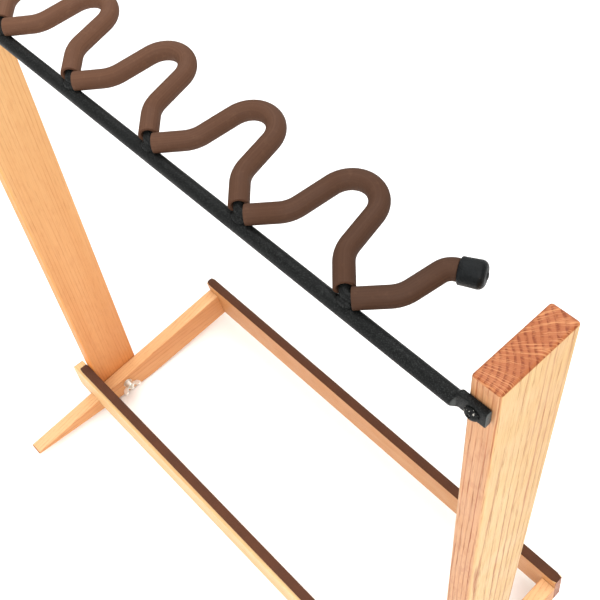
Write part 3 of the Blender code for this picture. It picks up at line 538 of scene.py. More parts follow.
def turned(profile: Sequence[Sequence[float]], steps: int = 40) -> bmesh.types.BMesh:
    """Turns a profile about z.

    Args:
        profile: (radius, height) points; it is closed into a ring if it never meets the axis.
        steps: faces round the axis.

    Returns:
        The closed mesh, with its normals out.
    """
    bm = bmesh.new()
    ring = [bm.verts.new((r, 0, z)) for r, z in profile]
    edges = [bm.edges.new(pair) for pair in zip(ring, ring[1:])]
    if profile[0][0] > 0 and profile[-1][0] > 0:
        edges.append(bm.edges.new((ring[-1], ring[0])))
    bmesh.ops.spin(bm, geom=ring + edges, cent=(0, 0, 0), axis=(0, 0, 1), dvec=(0, 0, 0), angle=math.tau,
                   steps=steps, use_merge=True, use_duplicate=False)
    bmesh.ops.remove_doubles(bm, verts=bm.verts, dist=HAIR)
    bmesh.ops.recalc_face_normals(bm, faces=bm.faces)
    return bm


def sweep(stations: Stations, sides: int, ring_closed: bool = False) -> bmesh.types.BMesh:
    """Draws a round section through stations.

    Args:
        stations: for each, its frame (z along the line), its two radii and its distance along the line.
        sides: faces round the section.
        ring_closed: whether the last section joins the first, as in a pipe's wall, or the ends are capped.

    Returns:
        The closed mesh; its attribute unbent holds each point's place on the straightened piece.
    """
    bm = bmesh.new()
    unbent = bm.verts.layers.float_vector.new("unbent")
    ring = bmesh.ops.create_circle(bm, cap_ends=False, segments=sides, radius=1)["verts"]
    edges = list(bm.edges)
    first, last = edges, Matrix.Identity(4)
    for number, (place, wide, tall, along) in enumerate(stations):
        if number:
            made = bmesh.ops.extrude_edge_only(bm, edges=edges)["geom"]
            ring = [g for g in made if isinstance(g, bmesh.types.BMVert)]
            new = set(ring)
            edges = [g for g in made if isinstance(g, bmesh.types.BMEdge) and set(g.verts) <= new]
        here = place @ Matrix.Diagonal((wide, tall, 1, 1))
        bmesh.ops.transform(bm, matrix=here @ last.inverted(), verts=ring)
        back = place.inverted()
        for vert in ring:
            local = back @ vert.co
            vert[unbent] = (local.x, local.y, along)
        last = here
    if ring_closed:
        bmesh.ops.bridge_loops(bm, edges=first + edges)
    else:
        for loop in (first, edges):
            bmesh.ops.edgeloop_fill(bm, edges=loop)
    bmesh.ops.recalc_face_normals(bm, faces=bm.faces)
    return bm


def make_object(bm: bmesh.types.BMesh, name: str) -> bpy.types.Object:
    """Turns a finished mesh into an object of the scene."""
    mesh = bpy.data.meshes.new(name)
    bm.to_mesh(mesh)
    bm.free()
    obj = bpy.data.objects.new(name, mesh)
    bpy.context.scene.collection.objects.link(obj)
    return obj


def settle(obj: bpy.types.Object) -> None:
    """Applies a piece's modifiers."""
    bpy.context.view_layer.update()
    made = bpy.data.meshes.new_from_object(obj.evaluated_get(bpy.context.evaluated_depsgraph_get()))
    obj.modifiers.clear()
    old, obj.data = obj.data, made
    bpy.data.meshes.remove(old)


def join_with(obj: bpy.types.Object, others: Iterable[bpy.types.Object], operation: str = "DIFFERENCE") -> None:
    """Cuts other shapes out of a piece, or adds them, and removes them."""
    others = list(others)
    for other in others:
        step = obj.modifiers.new(other.name, "BOOLEAN")
        step.operation = operation
        step.solver = "EXACT"
        step.object = other
    settle(obj)
    for other in others:
        bpy.data.objects.remove(other, do_unlink=True)


def drill(start: Vector, along: Sequence[float], radius: float, length: float, sides: int = 32) -> bpy.types.Object:
    """A round cutter from a point along a direction."""
    bm = bmesh.new()
    bmesh.ops.create_cone(bm, cap_ends=True, segments=sides, radius1=radius, radius2=radius, depth=length)
    aim = Vector(along).to_track_quat("Z", "Y").to_matrix().to_4x4()
    bmesh.ops.transform(bm, verts=bm.verts, matrix=Matrix.Translation(start) @ aim
                        @ Matrix.Translation((0, 0, length / 2)))
    return make_object(bm, "drill")


def cross_driver(place: Matrix, span: float, slot: float, depth: float) -> list[bpy.types.Object]:
    """Two tapered blades that cut a cross recess down the place's z axis."""
    blades = []
    for turn in (0.0, math.pi / 2):
        bm = bmesh.new()
        bmesh.ops.create_cube(bm, size=1)
        bmesh.ops.scale(bm, vec=(span, slot, 2 * depth), verts=bm.verts)
        low = [v for v in bm.verts if v.co.z < 0]
        bmesh.ops.scale(bm, vec=(0.45, 0.7, 1), verts=low)
        bmesh.ops.transform(bm, matrix=place @ Matrix.Rotation(turn, 4, "Z"), verts=bm.verts)
        blades.append(make_object(bm, "cross_blade"))
    return blades


def filleted(points: Sequence[Sequence[float]], radii: Sequence[float], step: float = math.radians(6)) -> list[Vector]:
    """Points of a flat line with its corners rounded.

    Args:
        points: the line's corners; the line is closed if each of them has a radius.
        radii: a bend radius for each corner, or for each corner between an open line's ends.
        step: the turn from one point of a bend to the next.

    Returns:
        The rounded line's points.
    """
    closed = len(radii) == len(points)
    out = [] if closed else [Vector(points[0])]
    for i, radius in enumerate(radii, 0 if closed else 1):
        corner, before, after = (Vector(points[j % len(points)]) for j in (i, i - 1, i + 1))
        u, v = (before - corner).normalized(), (after - corner).normalized()
        half = u.angle(v) / 2
        centre = corner + (u + v).normalized() * radius / math.sin(half)
        start = corner + u * radius / math.tan(half) - centre
        turn = (math.pi - 2 * half) * (1 if u.x * v.y - u.y * v.x < 0 else -1)
        count = max(1, round(abs(turn) / step))
        for k in range(count + 1):
            spin = Matrix.Rotation(turn * k / count, 2)
            out.append(centre + spin @ start)
    if not closed:
        out.append(Vector(points[-1]))
    return [p for i, p in enumerate(out) if i == 0 or (p - out[i - 1]).length > HAIR]


def slab(outline: Sequence[Vector], place: Matrix, thick: float, ease: float, segments: int) -> bmesh.types.BMesh:
    """Draws an outline of the place's xy plane out along z and rounds its rims.

    Args:
        outline: the outline's points.
        place: frame of the slab's first face.
        thick: thickness along the place's z.
        ease: radius of the rims.
        segments: faces across a rim.

    Returns:
        The closed slab.
    """
    bm = bmesh.new()
    bm.faces.new([bm.verts.new((p.x, p.y, 0)) for p in outline])
    made = bmesh.ops.extrude_face_region(bm, geom=list(bm.faces))["geom"]
    bmesh.ops.translate(bm, vec=(0, 0, thick), verts=[g for g in made if isinstance(g, bmesh.types.BMVert)])
    bmesh.ops.recalc_face_normals(bm, faces=bm.faces)
    rims = [e for e in bm.edges if sum(abs(f.normal.z) > 0.9 for f in e.link_faces) == 1]
    bevel(bm, rims, ease, segments)
    bmesh.ops.transform(bm, matrix=place, verts=bm.verts)
    return bm


def dome(radius: float, tall: float, base: float, steps: int = 8) -> list[tuple[float, float]]:
    """Profile of a domed head, from its crown down to its rim."""
    sphere = (radius ** 2 + tall ** 2) / (2 * tall)
    reach = math.asin(min(1.0, radius / sphere))
    return [(sphere * math.sin(reach * k / steps), base + tall - sphere * (1 - math.cos(reach * k / steps)))
            for k in range(steps + 1)]


def dress(obj: bpy.types.Object, node: str, finish: bpy.types.Material, sharp: float = 40.0,
          flat_faces: bool = False) -> bpy.types.Object:
    """Gives a piece its finish, puts it in its node's stead and on its node's body.

    Args:
        obj: the finished piece.
        node: the solid that it stands for.
        finish: its material.
        sharp: edges past this angle in degrees stay sharp.
        flat_faces: whether wide faces keep their own normals beside rounded edges.

    Returns:
        The same piece.
    """
    obj.data.materials.clear()
    obj.data.materials.append(finish)
    obj.data.shade_smooth()
    obj.data.set_sharp_from_angle(angle=math.radians(sharp))
    if flat_faces:
        shade = obj.modifiers.new("flat faces", "WEIGHTED_NORMAL")
        shade.keep_sharp = True
        shade.weight = 100
    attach(obj, frame["nodes"][node]["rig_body"])
    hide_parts(node)
    low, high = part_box(node)
    points = [v.co for v in obj.data.vertices]
    past = max(max(low[i] - min(p[i] for p in points), max(p[i] for p in points) - high[i]) for i in range(3))
    log.info("%s: %d faces, %+.2f mm past its solid", obj.name, len(obj.data.polygons), past * 1000)
    return obj


def middle_of(node: str) -> Vector:
    """Middle of a node's box."""
    low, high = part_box(node)
    return (low + high) / 2


@dataclass
class Uprights:
    """The two oak posts."""

    ease: float = 0.0022
    segments: int = 5
    # Per post: pith and figure, and painted shade: the left post darkens towards the floor, and both posts take colour
    # multipliers by the way each face looks.
    finishes: dict[str, dict] = field(default_factory=lambda: {
        "left": {"pith": (-0.06, -0.12), "figure": 0.32, "painted_low_end_shade": tuple_of(0.94, 0.58, 0.4),
                 "painted_face_shades": (WHITE, tuple_of(1.13, 0.9, 0.52), WHITE)},
        "right": {"figure": 0.9, "painted_face_shades": (tuple_of(0.96, 0.95, 0.85), tuple_of(0.78, 0.61, 0.62), WHITE)}})

    def build(self) -> None:
        """Makes both posts, with the holes for bolt, bar screw and dowels."""
        for side in SIDES:
            node = f"upright_{side}"
            low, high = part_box(node)
            bm = board(low, high)
            bevel(bm, bm.edges, self.ease, self.segments)
            post = make_object(bm, f"{node}_post")
            join_with(post, self.holes(side, low, high))
            finish = Oak(f"oak_{node}", Grain.UPRIGHT, tuple((low + high) / 2), **self.finishes[side])
            dress(post, node, finish.material(), flat_faces=True)

    def holes(self, side: str, low: Vector, high: Vector) -> list[bpy.types.Object]:
        """Cutters for what goes into a post."""
        bolt = middle_of(f"washer_{side}")
        cuts = [drill(Vector((low.x - 0.01, bolt.y, bolt.z)), (1, 0, 0), 0.0033, high.x - low.x + 0.02)]
        screw_low, screw_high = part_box(f"bar_screw_{side}")
        screw = (screw_low + screw_high) / 2
        cuts.append(drill(Vector((screw.x, screw_low.y - GAP, screw.z)), (0, 1, 0), 0.0022, 0.04))
        for number in range(1, 5):
            dowel_low, dowel_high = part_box(f"rail_dowel_{number}")
            dowel = (dowel_low + dowel_high) / 2
            if low.x < dowel.x < high.x:
                cuts.append(drill(Vector((dowel.x, dowel_low.y - GAP, dowel.z)), (0, 1, 0), 0.0043, 0.05))
        return cuts


@dataclass
class NeckBar:
    """The steel tube across the top, with its squashed ends and their screws."""

    d: float = 0.01
    lug_thick: float = 0.0048
    lug_tall: float = 0.0128
    lug_length: float = 0.0172
    shoulder: float = 0.0035
    squareness: float = 0.65
    end_ease: float = 0.0008
    sides: int = 48
    screw_inset: float = 0.0118
    head_d: float = 0.0095
    head_tall: float = 0.0028
    shank_d: float = 0.0038
    cross_span: float = 0.0050
    cross_slot: float = 0.0011
    cross_depth: float = 0.0015
    cross_turn: float = math.radians(20)

    def squash(self, x: float) -> float:
        """How far the tube is squashed at a distance from the middle, from 0 to 1."""
        start = self.end - self.lug_length - self.shoulder
        share = min(1.0, max(0.0, (abs(x) - start) / self.shoulder))
        return (1 - math.cos(math.pi * share)) / 2

    def section(self, vert: bmesh.types.BMVert) -> None:
        """Moves a point of the round tube to the squashed section."""
        flat = self.squash(vert.co.x)
        across, up = vert.co.y - self.y, vert.co.z - self.z
        angle = math.atan2(up, across)
        size = math.hypot(across, up) / (self.d / 2)
        power = 1 - self.squareness * flat
        wide = (self.d / 2 + flat * (self.lug_thick - self.d) / 2) * size
        tall = (self.d / 2 + flat * (self.lug_tall - self.d) / 2) * size
        c, s = math.cos(angle), math.sin(angle)
        vert.co.y = self.y + flat * (self.lug_y - self.y) + wide * math.copysign(abs(c) ** power, c)
        vert.co.z = self.z + flat * LUG_LIFT + tall * math.copysign(abs(s) ** power, s)

    def build(self) -> None:
        """Makes the tube and its two screws."""
        low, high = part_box("top_bar")
        self.end = high.x
        self.y, self.z = (low.y + high.y) / 2, (low.z + high.z) / 2 - LUG_LIFT
        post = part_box("upright_left")[1].y
        self.lug_y = post + GAP + self.lug_thick / 2
        half = [self.end - self.end_ease * (1 - math.cos(a)) for a in (0, math.pi / 6, math.pi / 3, math.pi / 2)]
        sizes = [self.d / 2 - self.end_ease * (1 - math.sin(a)) for a in (0, math.pi / 6, math.pi / 3, math.pi / 2)]
        flat_to = self.end - self.lug_length
        half += [flat_to + self.lug_length * 0.5, flat_to + 0.0008, flat_to]
        half += [flat_to - self.shoulder * k / 10 for k in range(1, 11)]
        sizes += [self.d / 2] * (len(half) - len(sizes))
        marks = list(zip(half, sizes)) + [(-x, size) for x, size in reversed(list(zip(half, sizes)))]
        lay = Matrix(((0, 0, -1, 0), (1, 0, 0, 0), (0, -1, 0, 0), (0, 0, 0, 1)))
        stations = [(Matrix.Translation((x, self.y, self.z)) @ lay, size, size, self.end - x) for x, size in marks]
        bm = sweep(stations, self.sides)
        for vert in bm.verts:
            self.section(vert)
        bar = make_object(bm, "top_bar_tube")
        post_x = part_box("upright_left")[1].x
        places = {side: Vector((sign * (post_x - self.screw_inset), post - 0.01, self.z)) for side, sign in SIDES.items()}
        join_with(bar, [drill(place, (0, 1, 0), self.shank_d / 2 + GAP, 0.03) for place in places.values()])
        # the bar's coat takes a painted highlight on its end faces
        coat = PowderCoat("powder_coat_bar", painted_end_light=0.5).material()
        dress(bar, "top_bar", coat, 35)
        screw_coat = PowderCoat("powder_coat_screws", worn=0.9).material()
        for side, place in places.items():
            self.screw(side, Matrix.Translation((place.x, post + 2 * GAP + self.lug_thick, place.z)), screw_coat)

    def screw(self, side: str, place: Matrix, finish: bpy.types.Material) -> None:
        """Makes one pan-head screw."""
        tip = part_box(f"bar_screw_{side}")[0].y
        length = place.translation.y - tip
        r, head = self.shank_d / 2, self.head_d / 2
        profile = dome(head - 0.0002, self.head_tall * 0.7, self.head_tall * 0.3)
        profile += [(head, self.head_tall * 0.2), (head, 0.0002), (head - 0.0002, 0.0), (r, 0.0),
                    (r, 2 * r * 2 - length), (r * 0.3, -length), (0, -length)]
        bm = turned(profile, 48)
        lay = place @ Matrix.Rotation(math.radians(-90), 4, "X")
        bmesh.ops.transform(bm, matrix=lay, verts=bm.verts)
        screw = make_object(bm, f"bar_screw_{side}_steel")
        top = lay @ Matrix.Translation((0, 0, self.head_tall)) @ Matrix.Rotation(self.cross_turn, 4, "Z")
        join_with(screw, cross_driver(top, self.cross_span, self.cross_slot, self.cross_depth))
        dress(screw, f"bar_screw_{side}", finish, 30)


@dataclass
class RodLine:
    """Middle line of the bent rod with the loops, on its own tilted plane."""

    rod_d: float = 0.0064
    bar_d: float = 0.01
    loops: int = 5
    pitch: float = 0.0876
    tilt: float = math.radians(6.86)
    depth: float = 0.0643
    tip_half: float = 0.0147
    waist_depth: float = 0.0211
    waist_half: float = 0.02185
    weld_bend: float = 0.0057
    waist_bend: float = 0.020
    ahead: float = 0.0033
    root: float = 0.0008
    end_depth: float = 0.0496
    end_out: float = 0.0011
    end_bend: float = 0.010
    end_angle: float = math.radians(25.6)
    end_run: float = 0.0068
    cap_bore: float = 0.0125

    def __post_init__(self) -> None:
        """Lays the line out from the bar's place."""
        low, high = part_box("top_bar")
        self.bar_y, self.bar_z = (low.y + high.y) / 2, (low.z + high.z) / 2 - LUG_LIFT
        self.half_angle = math.atan2(self.pitch / 2 - self.waist_half, self.waist_depth)
        setback = self.weld_bend * (1 / math.sin(self.half_angle) - 1)
        self.lift = math.sqrt((self.bar_d / 2 + self.rod_d / 2 + self.root) ** 2 - self.ahead ** 2)
        y = self.bar_y - self.ahead + setback * math.cos(self.tilt)
        z = self.bar_z + self.lift - setback * math.sin(self.tilt)
        self.plane = Matrix.Translation((0, y, z)) @ Matrix.Rotation(-self.tilt, 4, "X")
        corners = self.corners()
        self.tip = Vector(corners[-1][:2])
        self.path = filleted([c[:2] for c in corners], [c[2] for c in corners[1:-1]])
        self.total = [0.0]
        for a, b in zip(self.path, self.path[1:]):
            self.total.append(self.total[-1] + (b - a).length)
        steps = [(b - a).normalized() for a, b in zip(self.path, self.path[1:])]
        self.aims = [steps[0]] + [(a + b).normalized() for a, b in zip(steps, steps[1:])] + [steps[-1]]

    def corners(self) -> list[tuple[float, float, float]]:
        """Corners of the line and their bend radii, seen from above; y is minus the depth."""
        half = self.loops * self.pitch / 2
        lean = (self.waist_half - self.tip_half) / (self.depth - self.waist_depth)
        tip_bend = self.tip_half / math.tan((math.pi / 2 - math.atan(lean)) / 2)
        waist_x = half + self.pitch / 2 - self.waist_half
        turn_x = waist_x + lean * (self.end_depth - self.waist_depth) + self.end_out
        reach = self.end_run + self.cap_bore - GAP
        tip_x = turn_x + reach * math.cos(self.end_angle)
        tip_y = self.end_depth + reach * math.sin(self.end_angle)
        made = [(-tip_x, -tip_y, 0), (-turn_x, -self.end_depth, self.end_bend),
                (-waist_x, -self.waist_depth, self.waist_bend)]
        for i in range(self.loops):
            x = -half + i * self.pitch
            middle = x + self.pitch / 2
            made += [(x, 0, self.weld_bend), (middle - self.waist_half, -self.waist_depth, self.waist_bend),
                     (middle - self.tip_half, -self.depth, tip_bend), (middle + self.tip_half, -self.depth, tip_bend),
                     (middle + self.waist_half, -self.waist_depth, self.waist_bend)]
        return made + [(half, 0, self.weld_bend), (waist_x, -self.waist_depth, self.waist_bend),
                       (turn_x, -self.end_depth, self.end_bend), (tip_x, -tip_y, 0)]

    def welds(self) -> list[float]:
        """Places of the welds along the bar."""
        return [(i - self.loops / 2) * self.pitch for i in range(self.loops + 1)]

    def marks(self) -> list[float]:
        """Distances along the rod at which it passes its welds."""
        found = []
        for x in self.welds():
            i = max(k for k, p in enumerate(self.path[:-1]) if p.x <= x)
            a, b = self.path[i], self.path[i + 1]
            found.append(self.total[i] + (b - a).length * (x - a.x) / (b.x - a.x))
        return found

    def station(self, along: float) -> Matrix:
        """Frame of the line at a distance: x across the bend, y out of its plane, z along."""
        i = max(k for k, t in enumerate(self.total[:-1]) if t <= along + HAIR)
        share = (along - self.total[i]) / (self.total[i + 1] - self.total[i])
        point = self.path[i].lerp(self.path[i + 1], share)
        return self.facing(point, self.aims[i].lerp(self.aims[i + 1], share).normalized())

    def facing(self, point: Vector, aim: Vector) -> Matrix:
        """Frame at a point of the line's plane that looks along a direction."""
        local = Matrix(((-aim.y, 0, aim.x, point.x), (aim.x, 0, aim.y, point.y), (0, 1, 0, 0), (0, 0, 0, 1)))
        return self.plane @ local

    def straight_on(self, along: float, run: float) -> Matrix:
        """Frame that lies straight on from a distance on a straight part of the line."""
        i = max(k for k, t in enumerate(self.total[:-1]) if t <= along + HAIR)
        aim = (self.path[i + 1] - self.path[i]).normalized()
        return self.facing(self.path[i] + aim * (along - self.total[i] + run), aim)

    def between(self, start: float, end: float) -> list[float]:
        """Distances of the line's own points between two distances."""
        return [t for t in self.total if start + 0.0006 < t < end - 0.0006]


@dataclass
class NeckYokes:
    """The bent rod, its welds, its soft sleeves and its end caps."""

    line: RodLine = field(default_factory=RodLine)
    rod_sides: int = 24
    sleeve_d: float = 0.013
    sleeve_wall: float = 0.0022
    sleeve_near: float = 0.0008
    sleeve_sides: int = 40
    rim: float = 0.0003
    weld_length: float = 0.0125
    weld_width: float = 0.0092
    weld_tall: float = 0.0068
    ripples: int = 5
    cap_d: float = 0.0156
    cap_end_d: float = 0.0163
    cap_length: float = 0.0156
    cap_round: float = 0.004
    nub_d: float = 0.0044
    nub_tall: float = 0.0008

    def build(self) -> None:
        """Makes everything that is bent from or pushed over the rod."""
        self.rod()
        self.beads()
        self.sleeves()
        self.caps()

    def rod(self) -> None:
        """Sweeps the rod along its line."""
        r = self.line.rod_d / 2
        stations = [(self.line.station(t), r, r, t) for t in self.line.total]
        rod = make_object(sweep(stations, self.rod_sides), "neck_rod_steel")
        dress(rod, "neck_rod", PowderCoat("powder_coat_rod").material(), 50)

    def bead(self, number: int, x: float, grown: float = 0.0, lumpy: bool = True) -> bmesh.types.BMesh:
        """Shapes one weld's bead, rippled along the bar and lumpy as weld is, or smooth and grown as a cutter."""
        share = (self.line.bar_d + self.line.root) / (self.line.bar_d + self.line.rod_d + 2 * self.line.root)
        lean = Matrix.Rotation(math.atan2(self.line.ahead, self.line.lift), 4, "X")
        bm = bmesh.new()
        bmesh.ops.create_icosphere(bm, subdivisions=5 if lumpy else 3, radius=0.5)
        sizes = [size + 2 * grown for size in (self.weld_length, self.weld_width, self.weld_tall)]
        bmesh.ops.scale(bm, vec=sizes, verts=bm.verts)
        if lumpy:
            for vert in bm.verts:
                wave = math.sin(vert.co.x / self.weld_length * math.tau * self.ripples + number)
                lump = noise.noise(vert.co * 420 + Vector((number * 7.3, 0, 0)))
                vert.co *= 1 - 0.035 + 0.02 * wave + 0.05 * lump
        place = Vector((x, self.line.bar_y - self.line.ahead * share, self.line.bar_z + self.line.lift * share))
        bmesh.ops.transform(bm, matrix=Matrix.Translation(place) @ lean, verts=bm.verts)
        return bm

    def beads(self) -> None:
        """Makes the weld beads."""
        coat = PowderCoat("powder_coat_welds").material()
        for number, x in enumerate(self.line.welds(), 1):
            dress(make_object(self.bead(number, x), f"weld_{number}_bead"), f"weld_{number}", coat, 80)

    def spans(self) -> list[tuple[float, float, float]]:
        """Each sleeve's start and end along the rod, and its straight run past the end.

        At a weld one sleeve runs on past the rod's bend, and the next one butts on its flank.
        """
        line = self.line
        arc = line.weld_bend * (math.pi / 2 - line.half_angle)
        tangent = line.weld_bend / math.tan(line.half_angle)
        butt = arc - tangent + self.sleeve_d / 2 + GAP
        run = tangent - line.rod_d / 2 - self.sleeve_near
        marks = line.marks()
        starts = [line.cap_bore] + [mark + butt for mark in marks]
        ends = [(mark - arc, run) for mark in marks] + [(line.total[-1] - line.cap_bore, 0.0)]
        return [(start, *end) for start, end in zip(starts, ends)]

    def sleeves(self) -> None:
        """Makes the sleeves, each a pipe wall with square-cut ends that gives way to bar and welds."""
        coat = Tubing("brown_tubing_sleeves", outer=self.sleeve_d / 2).material()
        line = self.line
        outer, inner, rim = self.sleeve_d / 2, self.sleeve_d / 2 - self.sleeve_wall, self.rim
        welds = line.welds()
        for number, (start, end, run) in enumerate(self.spans(), 1):
            path = [(line.station(t), t) for t in line.between(start + rim, end - rim)]
            path.append((line.straight_on(end, -rim), end - rim))

            def far(back: float) -> tuple[Matrix, float]:
                """Frame at a distance back from the sleeve's far end."""
                return line.straight_on(end, run - back), end + run - back

            def near(ahead: float) -> tuple[Matrix, float]:
                """Frame at a distance from the sleeve's near end."""
                return line.station(start + ahead), start + ahead

            walls = [(near(0), outer - rim), (near(rim * 0.3), outer - rim * 0.3), (near(rim), outer)]
            walls += [(at, outer) for at in path]
            walls += [(far(rim), outer), (far(rim * 0.3), outer - rim * 0.3), (far(0), outer - rim)]
            walls += [(far(0), inner + rim), (far(rim), inner)] + [(at, inner) for at in reversed(path)]
            walls += [(near(rim), inner), (near(0), inner + rim)]
            stations = [(place, r, r, t) for (place, t), r in walls]
            sleeve = make_object(sweep(stations, self.sleeve_sides, ring_closed=True), f"sleeve_{number}_tube")
            self.give_way(sleeve, [(n, welds[n - 1]) for n in (number - 1, number) if 0 < n <= len(welds)])
            dress(sleeve, f"sleeve_{number}", coat, 50)

    def give_way(self, sleeve: bpy.types.Object, welds: Iterable[tuple[int, float]]) -> None:
        """Cuts the bar's and the welds' room out of a sleeve and keeps its unbent places."""
        old = sleeve.data.attributes["unbent"].data
        tree = kdtree.KDTree(len(sleeve.data.vertices))
        for vert in sleeve.data.vertices:
            tree.insert(vert.co, vert.index)
        tree.balance()
        places = [Vector(item.vector) for item in old]
        half = self.line.bar_d / 2 + GAP
        cuts = [drill(Vector((-0.3, self.line.bar_y, self.line.bar_z)), (1, 0, 0), half, 0.6, 96)]
        cuts += [make_object(self.bead(n, x, GAP, False), "weld_room") for n, x in welds]
        join_with(sleeve, cuts)
        if "unbent" not in sleeve.data.attributes:
            sleeve.data.attributes.new("unbent", "FLOAT_VECTOR", "POINT")
        kept = sleeve.data.attributes["unbent"].data
        for vert in sleeve.data.vertices:
            close = tree.find_n(vert.co, 3)
            shares = [1 / (gap + HAIR) for _, _, gap in close]
            mixed = sum((places[i] * share for (_, i, _), share in zip(close, shares)), Vector()) / sum(shares)
            kept[vert.index].vector = mixed

    def caps(self) -> None:
        """Makes the caps over the rod's ends, flared to a rounded end with a small nub."""
        coat = Rubber("black_rubber_caps", colour(6, 8, 9), colour(24, 27, 29), 0.45).material()
        r, end_r, nub = self.cap_d / 2, self.cap_end_d / 2, self.nub_d / 2
        bore, deep = self.line.rod_d / 2 + GAP, self.line.cap_bore
        shoulder = self.cap_length - self.nub_tall - self.cap_round
        profile = [(0, self.cap_length), (nub * 0.8, self.cap_length - 0.0001), (nub, self.cap_length - 0.0005)]
        for k in range(11):
            a = math.pi / 2 * k / 10
            profile.append((end_r - self.cap_round * (1 - math.sin(a)), shoulder + self.cap_round * math.cos(a)))
        profile += [(r + 0.0001, 0.003), (r + 0.0001, 0.0006), (r - 0.0002, 0.0002), (r - 0.0006, 0),
                    (bore, 0), (bore, deep), (0, deep)]
        for side, sign in SIDES.items():
            along = Vector((sign * math.cos(self.line.end_angle), -math.sin(self.line.end_angle), 0))
            tip = Vector((self.line.tip.x * sign, self.line.tip.y, 0)) - along * (deep - GAP)
            aim = along.to_track_quat("Z", "Y").to_matrix().to_4x4()
            bm = turned(profile, 48)
            bmesh.ops.transform(bm, matrix=self.line.plane @ Matrix.Translation(tip) @ aim, verts=bm.verts)
            dress(make_object(bm, f"end_cap_{side}_rubber"), f"end_cap_{side}", coat, 50)


def pad_strip(low: Vector, high: Vector, ease: float, crown: float, round_ends: bool,
              pitch: float = 0.006) -> bmesh.types.BMesh:
    """A soft strip along x, flat below, crowned above, with gently uneven sides.

    Args:
        low: its box's lower corner.
        high: its box's upper corner.
        ease: radius of its upper edges.
        crown: how far its middle stands above those edges' ends.
        round_ends: whether its ends are drawn in.
        pitch: distance between its sections.

    Returns:
        The closed strip.
    """
    wide, tall = (high.y - low.y) / 2, high.z - low.z
    outline = [(-wide * 0.97, 0.0), (wide * 0.97, 0.0), (wide, ease * 0.5), (wide, tall - ease - crown)]
    for k in range(1, 6):
        a = math.pi / 2 * k / 5
        outline.append((wide - ease * (1 - math.cos(a)), tall - crown - ease * (1 - math.sin(a))))
    for k in range(1, 6):
        share = 1 - k / 3
        outline.append(((wide - ease) * share, tall - crown * share ** 2))
    outline += [(-y, z) for y, z in reversed(outline[2:9])]
    bm = bmesh.new()
    ring = [bm.verts.new((low.x, (low.y + high.y) / 2 + y, low.z + z)) for y, z in outline]
    edges = [bm.edges.new((a, b)) for a, b in zip(ring, ring[1:] + ring[:1])]
    bmesh.ops.edgeloop_fill(bm, edges=edges)
    count = round((high.x - low.x) / pitch)
    middle = (low.y + high.y) / 2
    for _ in range(count):
        made = bmesh.ops.extrude_edge_only(bm, edges=edges)["geom"]
        ring = [g for g in made if isinstance(g, bmesh.types.BMVert)]
        new = set(ring)
        edges = [g for g in made if isinstance(g, bmesh.types.BMEdge) and set(g.verts) <= new]
        bmesh.ops.translate(bm, vec=((high.x - low.x) / count, 0, 0), verts=ring)
    bmesh.ops.edgeloop_fill(bm, edges=edges)
    bmesh.ops.recalc_face_normals(bm, faces=bm.faces)
    for vert in bm.verts:
        near = min(vert.co.x - low.x, high.x - vert.co.x)
        wave = noise.noise(Vector((vert.co.x * 22, 0.3, 0.7))) * 0.5 + 0.5
        fine = noise.noise(Vector((vert.co.x * 90, vert.co.y * 300, 2.1))) * 0.5 + 0.5
        shrink = 0.02 * wave + 0.01 * fine
        reach = wide if round_ends else ease * 0.6
        if near < reach:
            shrink += (1 - math.sqrt(max(0.0, 1 - (1 - near / reach) ** 2))) * (0.55 if round_ends else 0.25)
        vert.co.y = middle + (vert.co.y - middle) * (1 - shrink * (0.6 if round_ends else 0.5))
        vert.co.z = low.z + (vert.co.z - low.z) * (1 - shrink)
    return bm


